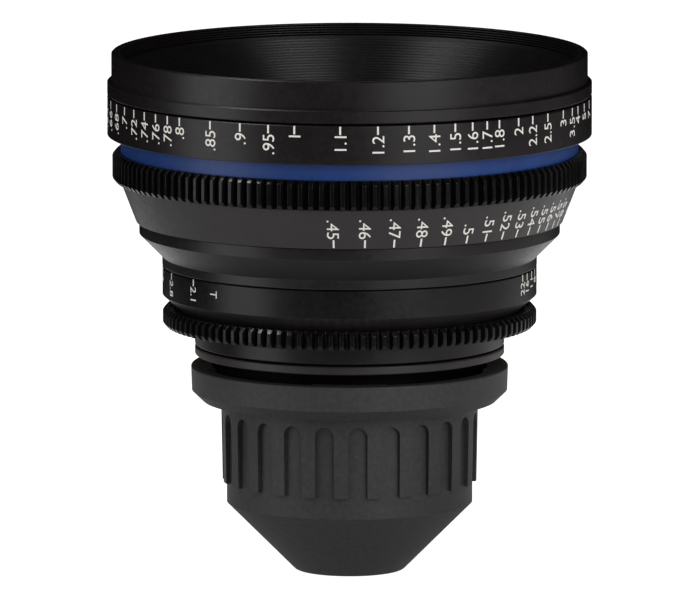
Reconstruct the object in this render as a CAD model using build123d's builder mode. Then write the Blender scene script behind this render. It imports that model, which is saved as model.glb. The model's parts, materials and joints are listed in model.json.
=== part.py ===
from build123d import *
import os
from math import asin, cos, degrees, radians, sin, sqrt

os.makedirs("parts", exist_ok=True)

# A cinema prime lens standing on its rear cap, in millimetres.
# The origin is the centre of the lens mount's seat, on the optical axis, and +Z points to the scene.
# Azimuths are in degrees about +Z from +X. The face that carries the scales looks along -Y.
# The model rests with the focus at 0.62 m and the iris at T5.2.

# Fits and small values that many pieces share
running_gap = 0.05
seat_gap = 0.02
free_gap = 0.3
edge_break = 0.25
fine_break = 0.1
overrun = 1.0
front_azimuth = -90.0

# Heights along the axis, from the mount's seat to the front rim
mount_ring_base = 7.28
mount_ring_height = 2.08
parting_line = 0.4
neck_height = 4.44
iris_gear_height = 4.5
iris_ring_height = 10.0
ring_gap = 0.2
housing_cylinder_height = 2.2
housing_cone_height = 5.5
housing_band_height = 2.8
focus_gap = 0.1
focus_cone_height = 9.7
focus_gear_height = 7.1
accent_height = 4.05
focus_scale_height = 9.35
shoulder_gap = 0.4
shoulder_height = 3.1
collar_height = 6.8

neck_base = mount_ring_base + mount_ring_height + parting_line
neck_top = neck_base + neck_height
iris_ring_base = neck_top + iris_gear_height
iris_ring_top = iris_ring_base + iris_ring_height
housing_base = iris_ring_top + ring_gap
housing_cone_base = housing_base + housing_cylinder_height
housing_band_base = housing_cone_base + housing_cone_height
housing_top = housing_band_base + housing_band_height
focus_base = housing_top + focus_gap
focus_gear_base = focus_base + focus_cone_height
accent_base = focus_gear_base + focus_gear_height
focus_scale_base = accent_base + accent_height
focus_top = focus_scale_base + focus_scale_height
shoulder_base = focus_top + shoulder_gap
collar_base = shoulder_base + shoulder_height
front_rim = collar_base + collar_height

# Walls and steps, outwards from the mount's barrel to the focus ring: each radius stands on the one before
barrel_radius = 27.0
mount_bore_step = 1.6
mount_neck_wall = 3.8
lug_reach = 2.3
neck_step = 4.7
land_step = 1.3
journal_step = 1.55
iris_ring_wall = 4.85
iris_gear_wall = 4.0
iris_taper_wall = 1.3
iris_taper_height = 3.2
housing_step = 0.05
guide_step = 2.05
guide_wall = 3.95
housing_band_wall = 4.45
sleeve_wall = 2.9
sleeve_flange = 4.1
focus_cone_rear_wall = 2.3
focus_cone_front_wall = 6.0
focus_gear_wall = 7.1
accent_wall = 5.95
focus_scale_wall = 9.1
collar_step = 1.0
collar_wall = 2.0

mount_bore = barrel_radius + mount_bore_step
mount_neck_radius = mount_bore + mount_neck_wall
lug_radius = mount_neck_radius + lug_reach
neck_radius = mount_neck_radius + neck_step
land_radius = neck_radius + land_step
journal_radius = land_radius + journal_step
iris_bore = journal_radius + running_gap
iris_ring_radius = iris_bore + iris_ring_wall
iris_taper_radius = iris_bore + iris_taper_wall
housing_cylinder_radius = iris_ring_radius + housing_step
guide_bore = journal_radius + guide_step
guide_radius = guide_bore + guide_wall
housing_band_radius = guide_radius + housing_band_wall
sleeve_bore = guide_radius + running_gap
sleeve_radius = sleeve_bore + sleeve_wall
sleeve_flange_radius = sleeve_radius + sleeve_flange
focus_cone_rear_radius = sleeve_radius + focus_cone_rear_wall
focus_cone_front_radius = sleeve_radius + focus_cone_front_wall
accent_radius = sleeve_radius + accent_wall
focus_scale_radius = sleeve_radius + focus_scale_wall
shoulder_radius = focus_scale_radius
collar_radius = shoulder_radius - collar_step
thread_radius = collar_radius - collar_wall

# Gears: follow-focus standard tooth size, and as many teeth as the ring's wall has room for
gear_module = 0.8
gear_dedendum_share = 1.25
tooth_root_share = 0.78
tooth_tip_share = 0.36
gear_chamfer_depth = 0.85
gear_chamfer_height = 1.0
focus_tooth_azimuth = front_azimuth + 0.96
iris_tooth_azimuth = front_azimuth + 0.86

focus_teeth = round(2 * (sleeve_radius + focus_gear_wall) / gear_module)
iris_teeth = round(2 * (iris_bore + iris_gear_wall) / gear_module)

# Focus movement: a long-lead cam drives the lens block along straight slots
focus_lead = 9.16
focus_turn_to_infinity = 195.0
focus_turn_to_close = 105.0
cam_starts = 3
cam_azimuth = 30.0
roller_radius = 1.1
roller_lift = 12.6
groove_depth = 1.8
roller_end_gap = 0.2

roller_height = housing_top + roller_lift
travel_back = focus_lead * focus_turn_to_infinity / 360
travel_forward = focus_lead * focus_turn_to_close / 360

# Optical surfaces, from the front vertex back, and the front cell's outline around them
first_vertex = 30.0
front_thickness = 4.6
front_curve = 28.2
front_back_curve = 76.5
front_radius = 16.5
second_gap = 0.5
second_thickness = 6.4
second_curve = 18.9
second_radius = 13.0
third_thickness = 1.9
third_curve = 12.2
third_clear_radius = 9.6
front_stop_gap = 8.2
rear_stop_gap = 6.9
fourth_thickness = 1.9
fourth_curve = 14.26
fourth_clear_radius = 9.4
rear_doublet_radius = 12.0
fifth_thickness = 5.5
fifth_curve = 19.06
sixth_gap = 0.4
sixth_thickness = 4.4
sixth_front_curve = 89.1
sixth_back_curve = 39.9
sixth_radius = 13.5

first_back = first_vertex - front_thickness
second_vertex = first_back - second_gap
cement_plane = second_vertex - second_thickness
third_back = cement_plane - third_thickness
stop_plane = third_back - front_stop_gap
fourth_vertex = stop_plane - rear_stop_gap
rear_cement_plane = fourth_vertex - fourth_thickness
fifth_back = rear_cement_plane - fifth_thickness
sixth_vertex = fifth_back - sixth_gap
sixth_back = sixth_vertex - sixth_thickness

cell_top_lift = 3.4
cell_seat_lift = 1.0
ring_shoulder_drop = 2.5
ring_mouth_wall = 2.4
cell_neck_wall = 1.0
cell_flange_width = 3.9
cell_screw_offset = 2.1
iris_body_step = 0.6

cell_top = first_vertex + cell_top_lift
cell_seat = first_vertex + cell_seat_lift
ring_shoulder_height = first_vertex - ring_shoulder_drop
ring_mouth_radius = front_radius + ring_mouth_wall
cell_neck_radius = ring_mouth_radius + cell_neck_wall
cell_flange_radius = cell_neck_radius + cell_flange_width
cell_screw_circle = cell_neck_radius + cell_screw_offset
iris_radius = cell_flange_radius + iris_body_step

# Iris movement: the outer ring carries a bar that turns the actuator ring inside the lens block
blade_count = 14
iris_turn_to_open = 36.1
iris_turn_to_closed = 19.9
blade_ratio = 0.523
iris_turn = iris_turn_to_open + iris_turn_to_closed


def half_plane(azimuth):
    """The plane through the optical axis at an azimuth: local x is the radius and local y is the height."""
    a = radians(azimuth)
    return Plane(origin=(0, 0, 0), x_dir=(cos(a), sin(a), 0), z_dir=(sin(a), -cos(a), 0))


def facing(azimuth, height):
    """A plane on the axis that looks outwards at an azimuth: local y is up."""
    a = radians(azimuth)
    return Plane(origin=(0, 0, height), x_dir=(-sin(a), cos(a), 0), z_dir=(cos(a), sin(a), 0))


def spoke(azimuth, height):
    """A level plane on the axis whose local x points outwards at an azimuth."""
    a = radians(azimuth)
    return Plane(origin=(0, 0, height), x_dir=(cos(a), sin(a), 0), z_dir=(0, 0, 1))


def on_circle(radius, azimuth):
    return (radius * cos(radians(azimuth)), radius * sin(radians(azimuth)))


def turn(*corners, mode=Mode.ADD):
    """Turned work: a half section, as (radius, height) corners, spun about the optical axis."""
    with BuildSketch(Plane.XZ) as section:
        with BuildLine():
            Polyline(*corners, close=True)
        make_face()
    revolve(section.sketch, axis=Axis.Z, mode=mode)


def turn_sector(start, span, *corners, mode=Mode.SUBTRACT):
    """Turned work over part of the circle, from one azimuth through a span in degrees."""
    with BuildSketch(half_plane(start)) as section:
        with BuildLine():
            Polyline(*corners, close=True)
        make_face()
    revolve(section.sketch, axis=Axis.Z, revolution_arc=span, mode=mode)


def block(inner, outer, low, high):
    """The four corners of a rectangular half section."""
    return (inner, low), (outer, low), (outer, high), (inner, high)


def drill(radius, circle, azimuth, count, low, high, mode=Mode.SUBTRACT):
    """Round holes, or pins, parallel to the axis on a bolt circle."""
    with BuildSketch(Plane.XY.offset(low)) as holes:
        with PolarLocations(circle, count, start_angle=azimuth):
            Circle(radius)
    extrude(holes.sketch, amount=high - low, mode=mode)


def tooth_outline(teeth, azimuth):
    """Corners of a spur gear's outline, with straight flanks."""
    pitch_radius = gear_module * teeth / 2
    tip = pitch_radius + gear_module
    root = pitch_radius - gear_module * gear_dedendum_share
    pitch_angle = 360 / teeth
    corners = []
    for tooth in range(teeth):
        middle = azimuth + tooth * pitch_angle
        for radius, share in ((root, -tooth_root_share), (tip, -tooth_tip_share),
                              (tip, tooth_tip_share), (root, tooth_root_share)):
            corners.append(on_circle(radius, middle + share * pitch_angle / 2))
    return corners


def gear_blank(teeth, bore, low, high):
    """Corners of a gear's turned blank, chamfered at both ends of the teeth."""
    tip = gear_module * teeth / 2 + gear_module
    shoulder = tip - gear_chamfer_depth
    return ((bore, low), (shoulder, low), (tip, low + gear_chamfer_height),
            (tip, high - gear_chamfer_height), (shoulder, high), (bore, high))


def keep(piece, label):
    piece.part.label = label
    export_step(piece.part, f"parts/{label}.step")


# Front ring: clamp-on collar, shoulder, accessory thread and the hub that closes the barrel
thread_depth = 0.6
thread_pitch = 0.57
thread_turns = 5
thread_land_share = 0.3
rim_lead_in = 0.05
hub_depth = 2.5
hub_gap = 0.5
funnel_flange = 1.2
funnel_flange_width = 6.55
funnel_seat_width = 4.8
ledge_width = 1.5

funnel_bore = thread_radius - ledge_width
ledge_height = front_rim - rim_lead_in - thread_turns * thread_pitch
funnel_seat = ledge_height - funnel_flange
hub_base = shoulder_base - hub_depth
hub_radius = sleeve_flange_radius - hub_gap

screw_radius = 1.0
screw_head_radius = 1.8
screw_head_height = 1.0
screw_hole = screw_radius + seat_gap
head_hole = screw_head_radius + free_gap / 3
screw_count = 6
hex_sides = 6
hex_socket_radius = 0.8
hex_socket_depth = 0.6
thread_engagement = 5.0
guide_screw_circle = guide_radius - guide_wall / 2
front_screw_azimuth = 10.0
front_screw_web = 0.8
front_screw_seat = hub_base + front_screw_web


def cap_screws(circle, azimuth, count, seat, tip, head_side):
    """Socket screws on a bolt circle, each with its head on a seat and its tip at the far end."""
    top = seat + head_side * screw_head_height
    floor = top - head_side * hex_socket_depth
    drill(screw_radius, circle, azimuth, count, min(seat, tip), max(seat, tip), Mode.ADD)
    drill(screw_head_radius, circle, azimuth, count, min(seat, top), max(seat, top), Mode.ADD)
    with BuildSketch(Plane.XY.offset(min(floor, top))) as sockets:
        with PolarLocations(circle, count, start_angle=azimuth):
            RegularPolygon(hex_socket_radius, hex_sides)
    extrude(sockets.sketch, amount=hex_socket_depth, mode=Mode.SUBTRACT)


def thread_corners():
    """Corners of the accessory thread's section, from the rim down to the ledge."""
    land = thread_pitch * thread_land_share
    flank = (thread_pitch - land) / 2
    corners = [(thread_radius + thread_depth, front_rim), (thread_radius, front_rim - rim_lead_in)]
    for turn_number in range(thread_turns):
        high = front_rim - rim_lead_in - turn_number * thread_pitch
        corners.append((thread_radius, high - land))
        corners.append((thread_radius + thread_depth, high - land - flank))
        corners.append((thread_radius, high - thread_pitch))
    return corners


with BuildPart() as front_ring:
    turn(
        (guide_bore, hub_base), (hub_radius, hub_base), (hub_radius, shoulder_base),
        (shoulder_radius - edge_break, shoulder_base), (shoulder_radius, shoulder_base + edge_break),
        (shoulder_radius, collar_base - edge_break), (shoulder_radius - edge_break, collar_base),
        (collar_radius, collar_base), (collar_radius, front_rim - edge_break),
        (collar_radius - edge_break, front_rim), *thread_corners(),
        (funnel_bore, ledge_height), (funnel_bore, funnel_seat),
        (thread_radius - funnel_seat_width, funnel_seat),
    )
    drill(screw_hole, guide_screw_circle, front_screw_azimuth, screw_count, hub_base, front_screw_seat)
    drill(head_hole, guide_screw_circle, front_screw_azimuth, screw_count, front_screw_seat, collar_base)
keep(front_ring, "front_ring")

with BuildPart() as front_ring_screws:
    cap_screws(guide_screw_circle, front_screw_azimuth, screw_count,
               front_screw_seat, hub_base - thread_engagement, 1)
keep(front_ring_screws, "front_ring_screws")

# Front funnel: stepped anti-reflection baffle between the front ring and the first element
funnel_mouth_radius = thread_radius - funnel_flange_width
funnel_upper_height = 19.6
funnel_end_gap = 0.6
funnel_flare = 8.5
funnel_end_clearance = 1.43
funnel_wall = 1.5
baffle_pitch = 0.6
baffle_drop_share = 0.5

funnel_end_radius = ring_mouth_radius + funnel_end_gap
funnel_end_height = cell_top + travel_forward + funnel_end_clearance
funnel_waist_radius = funnel_end_radius + funnel_flare
funnel_waist_height = ledge_height - funnel_upper_height


def baffle_steps(top, bottom):
    """Saw-tooth rings down a cone: each has a plain drop and then a slope inwards."""
    count = round((top[1] - bottom[1]) / baffle_pitch)
    fall = (top[1] - bottom[1]) / count
    shrink = (top[0] - bottom[0]) / count
    corners = []
    for step in range(count):
        radius = top[0] - step * shrink
        height = top[1] - step * fall
        corners.append((radius, height))
        corners.append((radius, height - fall * baffle_drop_share))
    return corners


funnel_mouth = (funnel_mouth_radius, ledge_height)
funnel_waist = (funnel_waist_radius, funnel_waist_height)
funnel_end = (funnel_end_radius, funnel_end_height)
funnel_slope = (funnel_mouth_radius - funnel_waist_radius) / (ledge_height - funnel_waist_height)
funnel_edge = funnel_bore - running_gap

with BuildPart() as front_funnel:
    turn(
        *baffle_steps(funnel_mouth, funnel_waist), *baffle_steps(funnel_waist, funnel_end), funnel_end,
        (funnel_end_radius + funnel_wall, funnel_end_height),
        (funnel_waist_radius + funnel_wall, funnel_waist_height),
        (funnel_mouth_radius - funnel_flange * funnel_slope + funnel_wall, funnel_seat),
        (funnel_edge, funnel_seat), (funnel_edge, ledge_height - edge_break),
        (funnel_edge - edge_break, ledge_height),
    )
keep(front_funnel, "front_funnel")

# Guide barrel: the fixed tube inside the focus ring, with a straight slot for each cam roller
foot_lift = 2.4
foot_height = 3.0
foot_inset = 2.5
foot_screw_azimuth = 20.0

foot_seat = housing_cone_base + foot_lift
foot_bore = guide_bore - foot_inset
foot_screw_circle = guide_bore
slot_half_width = roller_radius + running_gap
slot_low = roller_height - travel_back - slot_half_width - free_gap
slot_high = roller_height + travel_forward + slot_half_width + free_gap

with BuildPart() as guide_barrel:
    turn(
        (foot_bore, foot_seat), (guide_radius, foot_seat), (guide_radius, hub_base),
        (guide_bore, hub_base), (guide_bore, foot_seat + foot_height), (foot_bore, foot_seat + foot_height),
    )
    for start in range(cam_starts):
        azimuth = cam_azimuth + start * 360 / cam_starts
        with BuildSketch(facing(azimuth, (slot_low + slot_high) / 2)):
            SlotOverall(slot_high - slot_low, 2 * slot_half_width, rotation=90)
        extrude(amount=guide_radius + overrun, mode=Mode.SUBTRACT)
    drill(screw_hole, guide_screw_circle, front_screw_azimuth, screw_count,
          hub_base - thread_engagement, hub_base)
    drill(screw_hole, foot_screw_circle, foot_screw_azimuth, screw_count,
          foot_seat, foot_seat + foot_height)
keep(guide_barrel, "guide_barrel")

# Middle housing: the fixed cone between the focus and iris rings, which holds the guide barrel's foot
housing_lip = 2.45
skirt_wall = 0.6
stop_pin_radius = 1.0
stop_pin_azimuth = 250.0
stop_groove_depth = 2.2

flange_pocket_radius = housing_cylinder_radius - skirt_wall
lip_base = foot_seat - housing_lip
stop_pin_circle = (sleeve_bore + sleeve_radius) / 2
stop_margin = degrees(asin((stop_pin_radius + free_gap) / stop_pin_circle))
stop_groove_half = stop_pin_radius + running_gap
stop_groove_start = stop_pin_azimuth - focus_turn_to_infinity - stop_margin
stop_groove_span = focus_turn_to_infinity + focus_turn_to_close + 2 * stop_margin

with BuildPart() as middle_housing:
    turn(
        (flange_pocket_radius, housing_base), (housing_cylinder_radius - fine_break, housing_base),
        (housing_cylinder_radius, housing_base + fine_break), (housing_cylinder_radius, housing_cone_base),
        (housing_band_radius, housing_band_base), (housing_band_radius, housing_top - fine_break),
        (housing_band_radius - fine_break, housing_top), (guide_radius + seat_gap, housing_top),
        (guide_radius + seat_gap, foot_seat), (foot_bore, foot_seat), (foot_bore, lip_base),
        (flange_pocket_radius, lip_base),
    )
    turn_sector(stop_groove_start, stop_groove_span,
                *block(stop_pin_circle - stop_groove_half, stop_pin_circle + stop_groove_half,
                       housing_top - stop_groove_depth, housing_top + overrun))
    drill(screw_hole, foot_screw_circle, foot_screw_azimuth, screw_count, lip_base, foot_seat)
keep(middle_housing, "middle_housing")

# Rear housing: the journal of the iris ring, and the neck below it
journal_wall = 3.15
land_height = 1.0
neck_wall = 2.9
neck_floor = 2.24
bar_azimuth = 150.0
bar_half_width = 1.2
arm_lift = 3.8
arm_height = 3.0
window_gap = 0.5

rear_flange_radius = flange_pocket_radius - running_gap
neck_bore = mount_bore + fine_break
arm_base = iris_ring_base + arm_lift
journal_bore = journal_radius - journal_wall
land_top = neck_top + land_height
window_margin = degrees(asin((bar_half_width + window_gap) / journal_bore))
window_start = bar_azimuth - iris_turn_to_open - window_margin
window_span = iris_turn + 2 * window_margin
rear_screw_seat = housing_base + screw_head_height
mount_screw_circle = (mount_bore + mount_neck_radius) / 2
mount_screw_count = 4
mount_screw_azimuth = 45.0

with BuildPart() as rear_housing:
    turn(
        (neck_bore, neck_base), (neck_radius - edge_break, neck_base),
        (neck_radius, neck_base + edge_break), (neck_radius, neck_top), (land_radius, neck_top),
        (land_radius, land_top), (journal_radius, land_top), (journal_radius, housing_base),
        (rear_flange_radius, housing_base), (rear_flange_radius, lip_base),
        (journal_bore, lip_base), (journal_bore, land_top + neck_wall),
        (neck_radius - neck_wall, land_top), (neck_radius - neck_wall, neck_base + neck_floor),
        (neck_bore, neck_base + neck_floor),
    )
    turn_sector(window_start, window_span,
                *block(journal_bore - overrun, journal_radius + overrun,
                       arm_base - window_gap, arm_base + arm_height + window_gap))
    drill(screw_hole, foot_screw_circle, foot_screw_azimuth, screw_count, rear_screw_seat, lip_base)
    drill(head_hole, foot_screw_circle, foot_screw_azimuth, screw_count, housing_base, rear_screw_seat)
    drill(screw_hole, mount_screw_circle, mount_screw_azimuth, mount_screw_count,
          neck_base, neck_base + neck_floor)
keep(rear_housing, "rear_housing")

with BuildPart() as barrel_screws:
    cap_screws(foot_screw_circle, foot_screw_azimuth, screw_count,
               rear_screw_seat, foot_seat + foot_height, -1)
keep(barrel_screws, "barrel_screws")

# Mount ring, shim and the four-lug mount
shim_thickness = 0.2
barrel_wall = 2.0
barrel_length = 22.0
barrel_floor = 0.6
lug_thickness = 3.2
lug_count = 4
lug_span = 50.0
lug_azimuth = 45.0
index_notch_half = 1.6
index_notch_depth = 1.5

mount_top = mount_ring_base - shim_thickness
barrel_bore = barrel_radius - barrel_wall
lug_gap_span = 360 / lug_count - lug_span

with BuildPart() as mount_ring:
    turn(
        (neck_bore, mount_ring_base), (neck_radius - edge_break, mount_ring_base),
        (neck_radius, mount_ring_base + edge_break),
        (neck_radius, neck_base - parting_line - edge_break),
        (neck_radius - edge_break, neck_base - parting_line), (mount_neck_radius, neck_base - parting_line),
        (mount_neck_radius, neck_base), (neck_bore, neck_base),
    )
    drill(screw_hole, mount_screw_circle, mount_screw_azimuth, mount_screw_count, mount_ring_base, neck_base)
keep(mount_ring, "mount_ring")

with BuildPart() as flange_shim:
    turn(*block(neck_bore, mount_neck_radius, mount_top, mount_ring_base))
    drill(screw_hole, mount_screw_circle, mount_screw_azimuth, mount_screw_count, mount_top, mount_ring_base)
keep(flange_shim, "flange_shim")

with BuildPart() as lens_mount:
    turn(
        (barrel_bore, -barrel_length), (barrel_radius - edge_break, -barrel_length),
        (barrel_radius, -barrel_length + edge_break), (barrel_radius, 0), (lug_radius, 0),
        (lug_radius, lug_thickness), (mount_neck_radius, lug_thickness), (mount_neck_radius, mount_top),
        (mount_bore, mount_top), (mount_bore, barrel_floor), (barrel_bore, barrel_floor),
    )
    for lug in range(lug_count):
        gap_start = lug_azimuth + lug_span / 2 + lug * 360 / lug_count
        turn_sector(gap_start, lug_gap_span,
                    *block(mount_neck_radius, lug_radius + overrun, -overrun, lug_thickness + overrun))
    with BuildSketch(facing(lug_azimuth, lug_thickness / 2).offset(lug_radius - index_notch_depth)):
        Rectangle(2 * index_notch_half, lug_thickness + overrun)
    extrude(amount=index_notch_depth + overrun, mode=Mode.SUBTRACT)
    drill(screw_hole, mount_screw_circle, mount_screw_azimuth, mount_screw_count, 0, mount_top)
    drill(head_hole, mount_screw_circle, mount_screw_azimuth, mount_screw_count,
          0, screw_head_height + free_gap)
keep(lens_mount, "lens_mount")

with BuildPart() as mount_screws:
    cap_screws(mount_screw_circle, mount_screw_azimuth, mount_screw_count,
               screw_head_height + free_gap, neck_base + neck_floor, -1)
keep(mount_screws, "mount_screws")

rear_baffle_width = 6.0
rear_baffle_thickness = 1.8
rear_baffle_lip = 0.8

rear_baffle_radius = barrel_bore - rear_baffle_width

with BuildPart() as rear_baffle:
    turn(
        (rear_baffle_radius, -barrel_length + rear_baffle_thickness),
        (rear_baffle_radius + rear_baffle_thickness, -barrel_length),
        (barrel_bore - running_gap, -barrel_length),
        (barrel_bore - running_gap, -barrel_length + rear_baffle_thickness + rear_baffle_lip),
        (barrel_bore - running_gap - rear_baffle_thickness,
         -barrel_length + rear_baffle_thickness + rear_baffle_lip),
        (barrel_bore - running_gap - rear_baffle_thickness, -barrel_length + rear_baffle_thickness),
    )
keep(rear_baffle, "rear_baffle")

# Focus ring: cam sleeve, thrust washers, stop pin and the four outer rings
washer_thickness = 0.4
washer_gap = 0.05
stop_pin_seat = 3.0
sleeve_base = housing_top + washer_thickness + 2 * washer_gap
sleeve_top = hub_base - washer_thickness - 2 * washer_gap
outer_bore = sleeve_radius + seat_gap
groove_radius = sleeve_bore + groove_depth
cam_run_out = degrees((roller_radius + free_gap) / sleeve_bore)
cam_back = focus_turn_to_infinity + cam_run_out
cam_forward = focus_turn_to_close + cam_run_out


def cam_groove(azimuth):
    """A left-hand helical groove in the sleeve's bore: turning the sleeve lifts the roller in it."""
    low = roller_height - focus_lead * cam_back / 360
    length = focus_lead * (cam_forward + cam_back) / 360
    middle = (sleeve_bore + groove_radius) / 2 - overrun / 2
    path = Helix(pitch=focus_lead, height=length, radius=middle, lefthand=True, mode=Mode.PRIVATE)
    path = spoke(azimuth + cam_back, low).location * path
    begin = path @ 0
    outwards = Vector(begin.X, begin.Y, 0).normalized()
    with BuildSketch(Plane(origin=begin, x_dir=outwards, z_dir=path % 0)) as section:
        Rectangle(groove_depth + overrun, 2 * slot_half_width)
    sweep(section.sketch, path=path, is_frenet=True, mode=Mode.SUBTRACT)


with BuildPart() as focus_cam_sleeve:
    turn(
        (sleeve_bore, sleeve_base), (sleeve_radius, sleeve_base),
        (sleeve_radius, focus_scale_base), (sleeve_flange_radius, focus_scale_base),
        (sleeve_flange_radius, sleeve_top), (sleeve_bore, sleeve_top),
    )
    for start in range(cam_starts):
        cam_groove(cam_azimuth + start * 360 / cam_starts)
    drill(stop_pin_radius + seat_gap, stop_pin_circle, stop_pin_azimuth, 1,
          sleeve_base, sleeve_base + stop_pin_seat)
keep(focus_cam_sleeve, "focus_cam_sleeve")

with BuildPart() as focus_front_washer:
    turn(*block(sleeve_bore + free_gap, hub_radius - free_gap,
                sleeve_top + washer_gap, hub_base - washer_gap))
keep(focus_front_washer, "focus_front_washer")

with BuildPart() as focus_rear_washer:
    turn(*block(sleeve_bore + free_gap, sleeve_radius - fine_break,
                housing_top + washer_gap, sleeve_base - washer_gap))
    drill(stop_pin_radius + running_gap, stop_pin_circle, stop_pin_azimuth, 1, housing_top, sleeve_base)
keep(focus_rear_washer, "focus_rear_washer")

with BuildPart() as focus_stop_pin:
    drill(stop_pin_radius, stop_pin_circle, stop_pin_azimuth, 1,
          housing_top - stop_groove_depth + free_gap, sleeve_base + stop_pin_seat, Mode.ADD)
keep(focus_stop_pin, "focus_stop_pin")

with BuildPart() as focus_cone_ring:
    turn(
        (outer_bore, focus_base), (focus_cone_rear_radius - fine_break, focus_base),
        (focus_cone_rear_radius, focus_base + fine_break),
        (focus_cone_front_radius, focus_gear_base), (outer_bore, focus_gear_base),
    )
keep(focus_cone_ring, "focus_cone_ring")

with BuildPart() as focus_gear_ring:
    with BuildSketch(Plane.XY.offset(focus_gear_base)):
        with BuildLine():
            Polyline(*tooth_outline(focus_teeth, focus_tooth_azimuth), close=True)
        make_face()
        Circle(outer_bore, mode=Mode.SUBTRACT)
    extrude(amount=focus_gear_height)
    turn(*gear_blank(focus_teeth, outer_bore, focus_gear_base, accent_base), mode=Mode.INTERSECT)
keep(focus_gear_ring, "focus_gear_ring")

with BuildPart() as focus_accent_ring:
    turn(*block(outer_bore, accent_radius, accent_base, focus_scale_base))
keep(focus_accent_ring, "focus_accent_ring")

with BuildPart() as focus_scale_ring:
    turn(
        (sleeve_flange_radius + seat_gap, focus_scale_base),
        (focus_scale_radius - fine_break, focus_scale_base),
        (focus_scale_radius, focus_scale_base + fine_break), (focus_scale_radius, focus_top - edge_break),
        (focus_scale_radius - edge_break, focus_top), (sleeve_flange_radius + seat_gap, focus_top),
    )
keep(focus_scale_ring, "focus_scale_ring")

# Iris ring: scale ring, gear ring, and the bar that reaches into the lens block
bar_side_gap = 0.8
bar_thickness = 2.0
bar_screw_radius = 0.8
bar_screw_head_radius = 1.5
bar_screw_head_depth = 1.2
bar_screw_length = 7.0
pocket_width = 3.9
retainer_height = 0.85

bar_outer = mount_bore - bar_side_gap
bar_inner = bar_outer - bar_thickness
pocket_radius = land_radius + pocket_width
iris_retainer_radius = pocket_radius - free_gap
bar_screw_height = arm_base + arm_height / 2
bar_tip = iris_bore - running_gap

with BuildPart() as iris_scale_ring:
    turn(
        (iris_bore, iris_ring_base), (iris_taper_radius, iris_ring_base),
        (iris_ring_radius, iris_ring_base + iris_taper_height),
        (iris_ring_radius, iris_ring_top - edge_break),
        (iris_ring_radius - edge_break, iris_ring_top), (iris_bore, iris_ring_top),
    )
    with BuildSketch(facing(bar_azimuth, bar_screw_height)):
        Circle(bar_screw_radius + running_gap)
    extrude(amount=iris_ring_radius + overrun, mode=Mode.SUBTRACT)
    with BuildSketch(facing(bar_azimuth, bar_screw_height).offset(iris_ring_radius - bar_screw_head_depth)):
        Circle(bar_screw_head_radius + running_gap)
    extrude(amount=bar_screw_head_depth + overrun, mode=Mode.SUBTRACT)
keep(iris_scale_ring, "iris_scale_ring")

with BuildPart() as iris_gear_ring:
    with BuildSketch(Plane.XY.offset(neck_top)):
        with BuildLine():
            Polyline(*tooth_outline(iris_teeth, iris_tooth_azimuth), close=True)
        make_face()
        Circle(iris_bore, mode=Mode.SUBTRACT)
    extrude(amount=iris_gear_height)
    turn(*gear_blank(iris_teeth, iris_bore, neck_top, iris_ring_base), mode=Mode.INTERSECT)
    turn(*block(iris_bore - overrun, pocket_radius, neck_top - overrun, land_top), mode=Mode.SUBTRACT)
keep(iris_gear_ring, "iris_gear_ring")

with BuildPart() as iris_retaining_ring:
    turn(*block(land_radius + seat_gap, iris_retainer_radius,
                land_top - washer_gap - retainer_height, land_top - washer_gap))
keep(iris_retaining_ring, "iris_retaining_ring")

with BuildPart() as iris_bar_screw:
    with BuildSketch(facing(bar_azimuth, bar_screw_height).offset(bar_tip - bar_screw_length + free_gap)):
        Circle(bar_screw_radius)
    extrude(amount=iris_ring_radius - bar_screw_head_depth - bar_tip + bar_screw_length - free_gap)
    with BuildSketch(facing(bar_azimuth, bar_screw_height).offset(iris_ring_radius - bar_screw_head_depth)):
        Circle(bar_screw_head_radius)
    extrude(amount=bar_screw_head_depth - free_gap)
    with BuildSketch(facing(bar_azimuth, bar_screw_height).offset(iris_ring_radius - free_gap)):
        RegularPolygon(hex_socket_radius, hex_sides)
    extrude(amount=-hex_socket_depth, mode=Mode.SUBTRACT)
keep(iris_bar_screw, "iris_bar_screw")

# Lens carrier: the tube that slides in the guide barrel, its web, and the inner tube that holds the cells
carrier_wall = 2.35
carrier_below_roller = 10.0
carrier_above_roller = 8.0
carrier_web = 2.4
inner_tube_gap = 2.2
inner_tube_wall = 2.0
carrier_flange = 2.0
cell_screw_count = 4
web_hole_share = 0.41
web_hole_count = 8

carrier_web_base = roller_height - carrier_below_roller
carrier_top = roller_height + carrier_above_roller
inner_tube_bore = iris_radius + inner_tube_gap
carrier_radius = guide_bore - running_gap
carrier_bore = carrier_radius - carrier_wall
inner_tube_radius = inner_tube_bore + inner_tube_wall
web_hole_circle = (carrier_bore + inner_tube_radius) / 2
web_hole_radius = (carrier_bore - inner_tube_radius) * web_hole_share
roller_shank = roller_radius - free_gap
roller_top = groove_radius - roller_end_gap

with BuildPart() as lens_carrier:
    turn(
        (cell_neck_radius + running_gap, cell_seat), (inner_tube_radius, cell_seat),
        (inner_tube_radius, carrier_web_base), (carrier_radius, carrier_web_base),
        (carrier_radius, carrier_top), (carrier_bore, carrier_top),
        (carrier_bore, carrier_web_base + carrier_web), (inner_tube_bore, carrier_web_base + carrier_web),
        (inner_tube_bore, cell_seat + carrier_flange),
        (cell_neck_radius + running_gap, cell_seat + carrier_flange),
    )
    for start in range(cam_starts):
        with BuildSketch(facing(cam_azimuth + start * 360 / cam_starts, roller_height)):
            Circle(roller_shank + seat_gap)
        extrude(amount=carrier_radius + overrun, mode=Mode.SUBTRACT)
    drill(web_hole_radius, web_hole_circle, 0, web_hole_count,
          carrier_web_base, carrier_web_base + carrier_web)
    drill(screw_hole, cell_screw_circle, 0, cell_screw_count, cell_seat, cell_seat + carrier_flange)
keep(lens_carrier, "lens_carrier")

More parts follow.
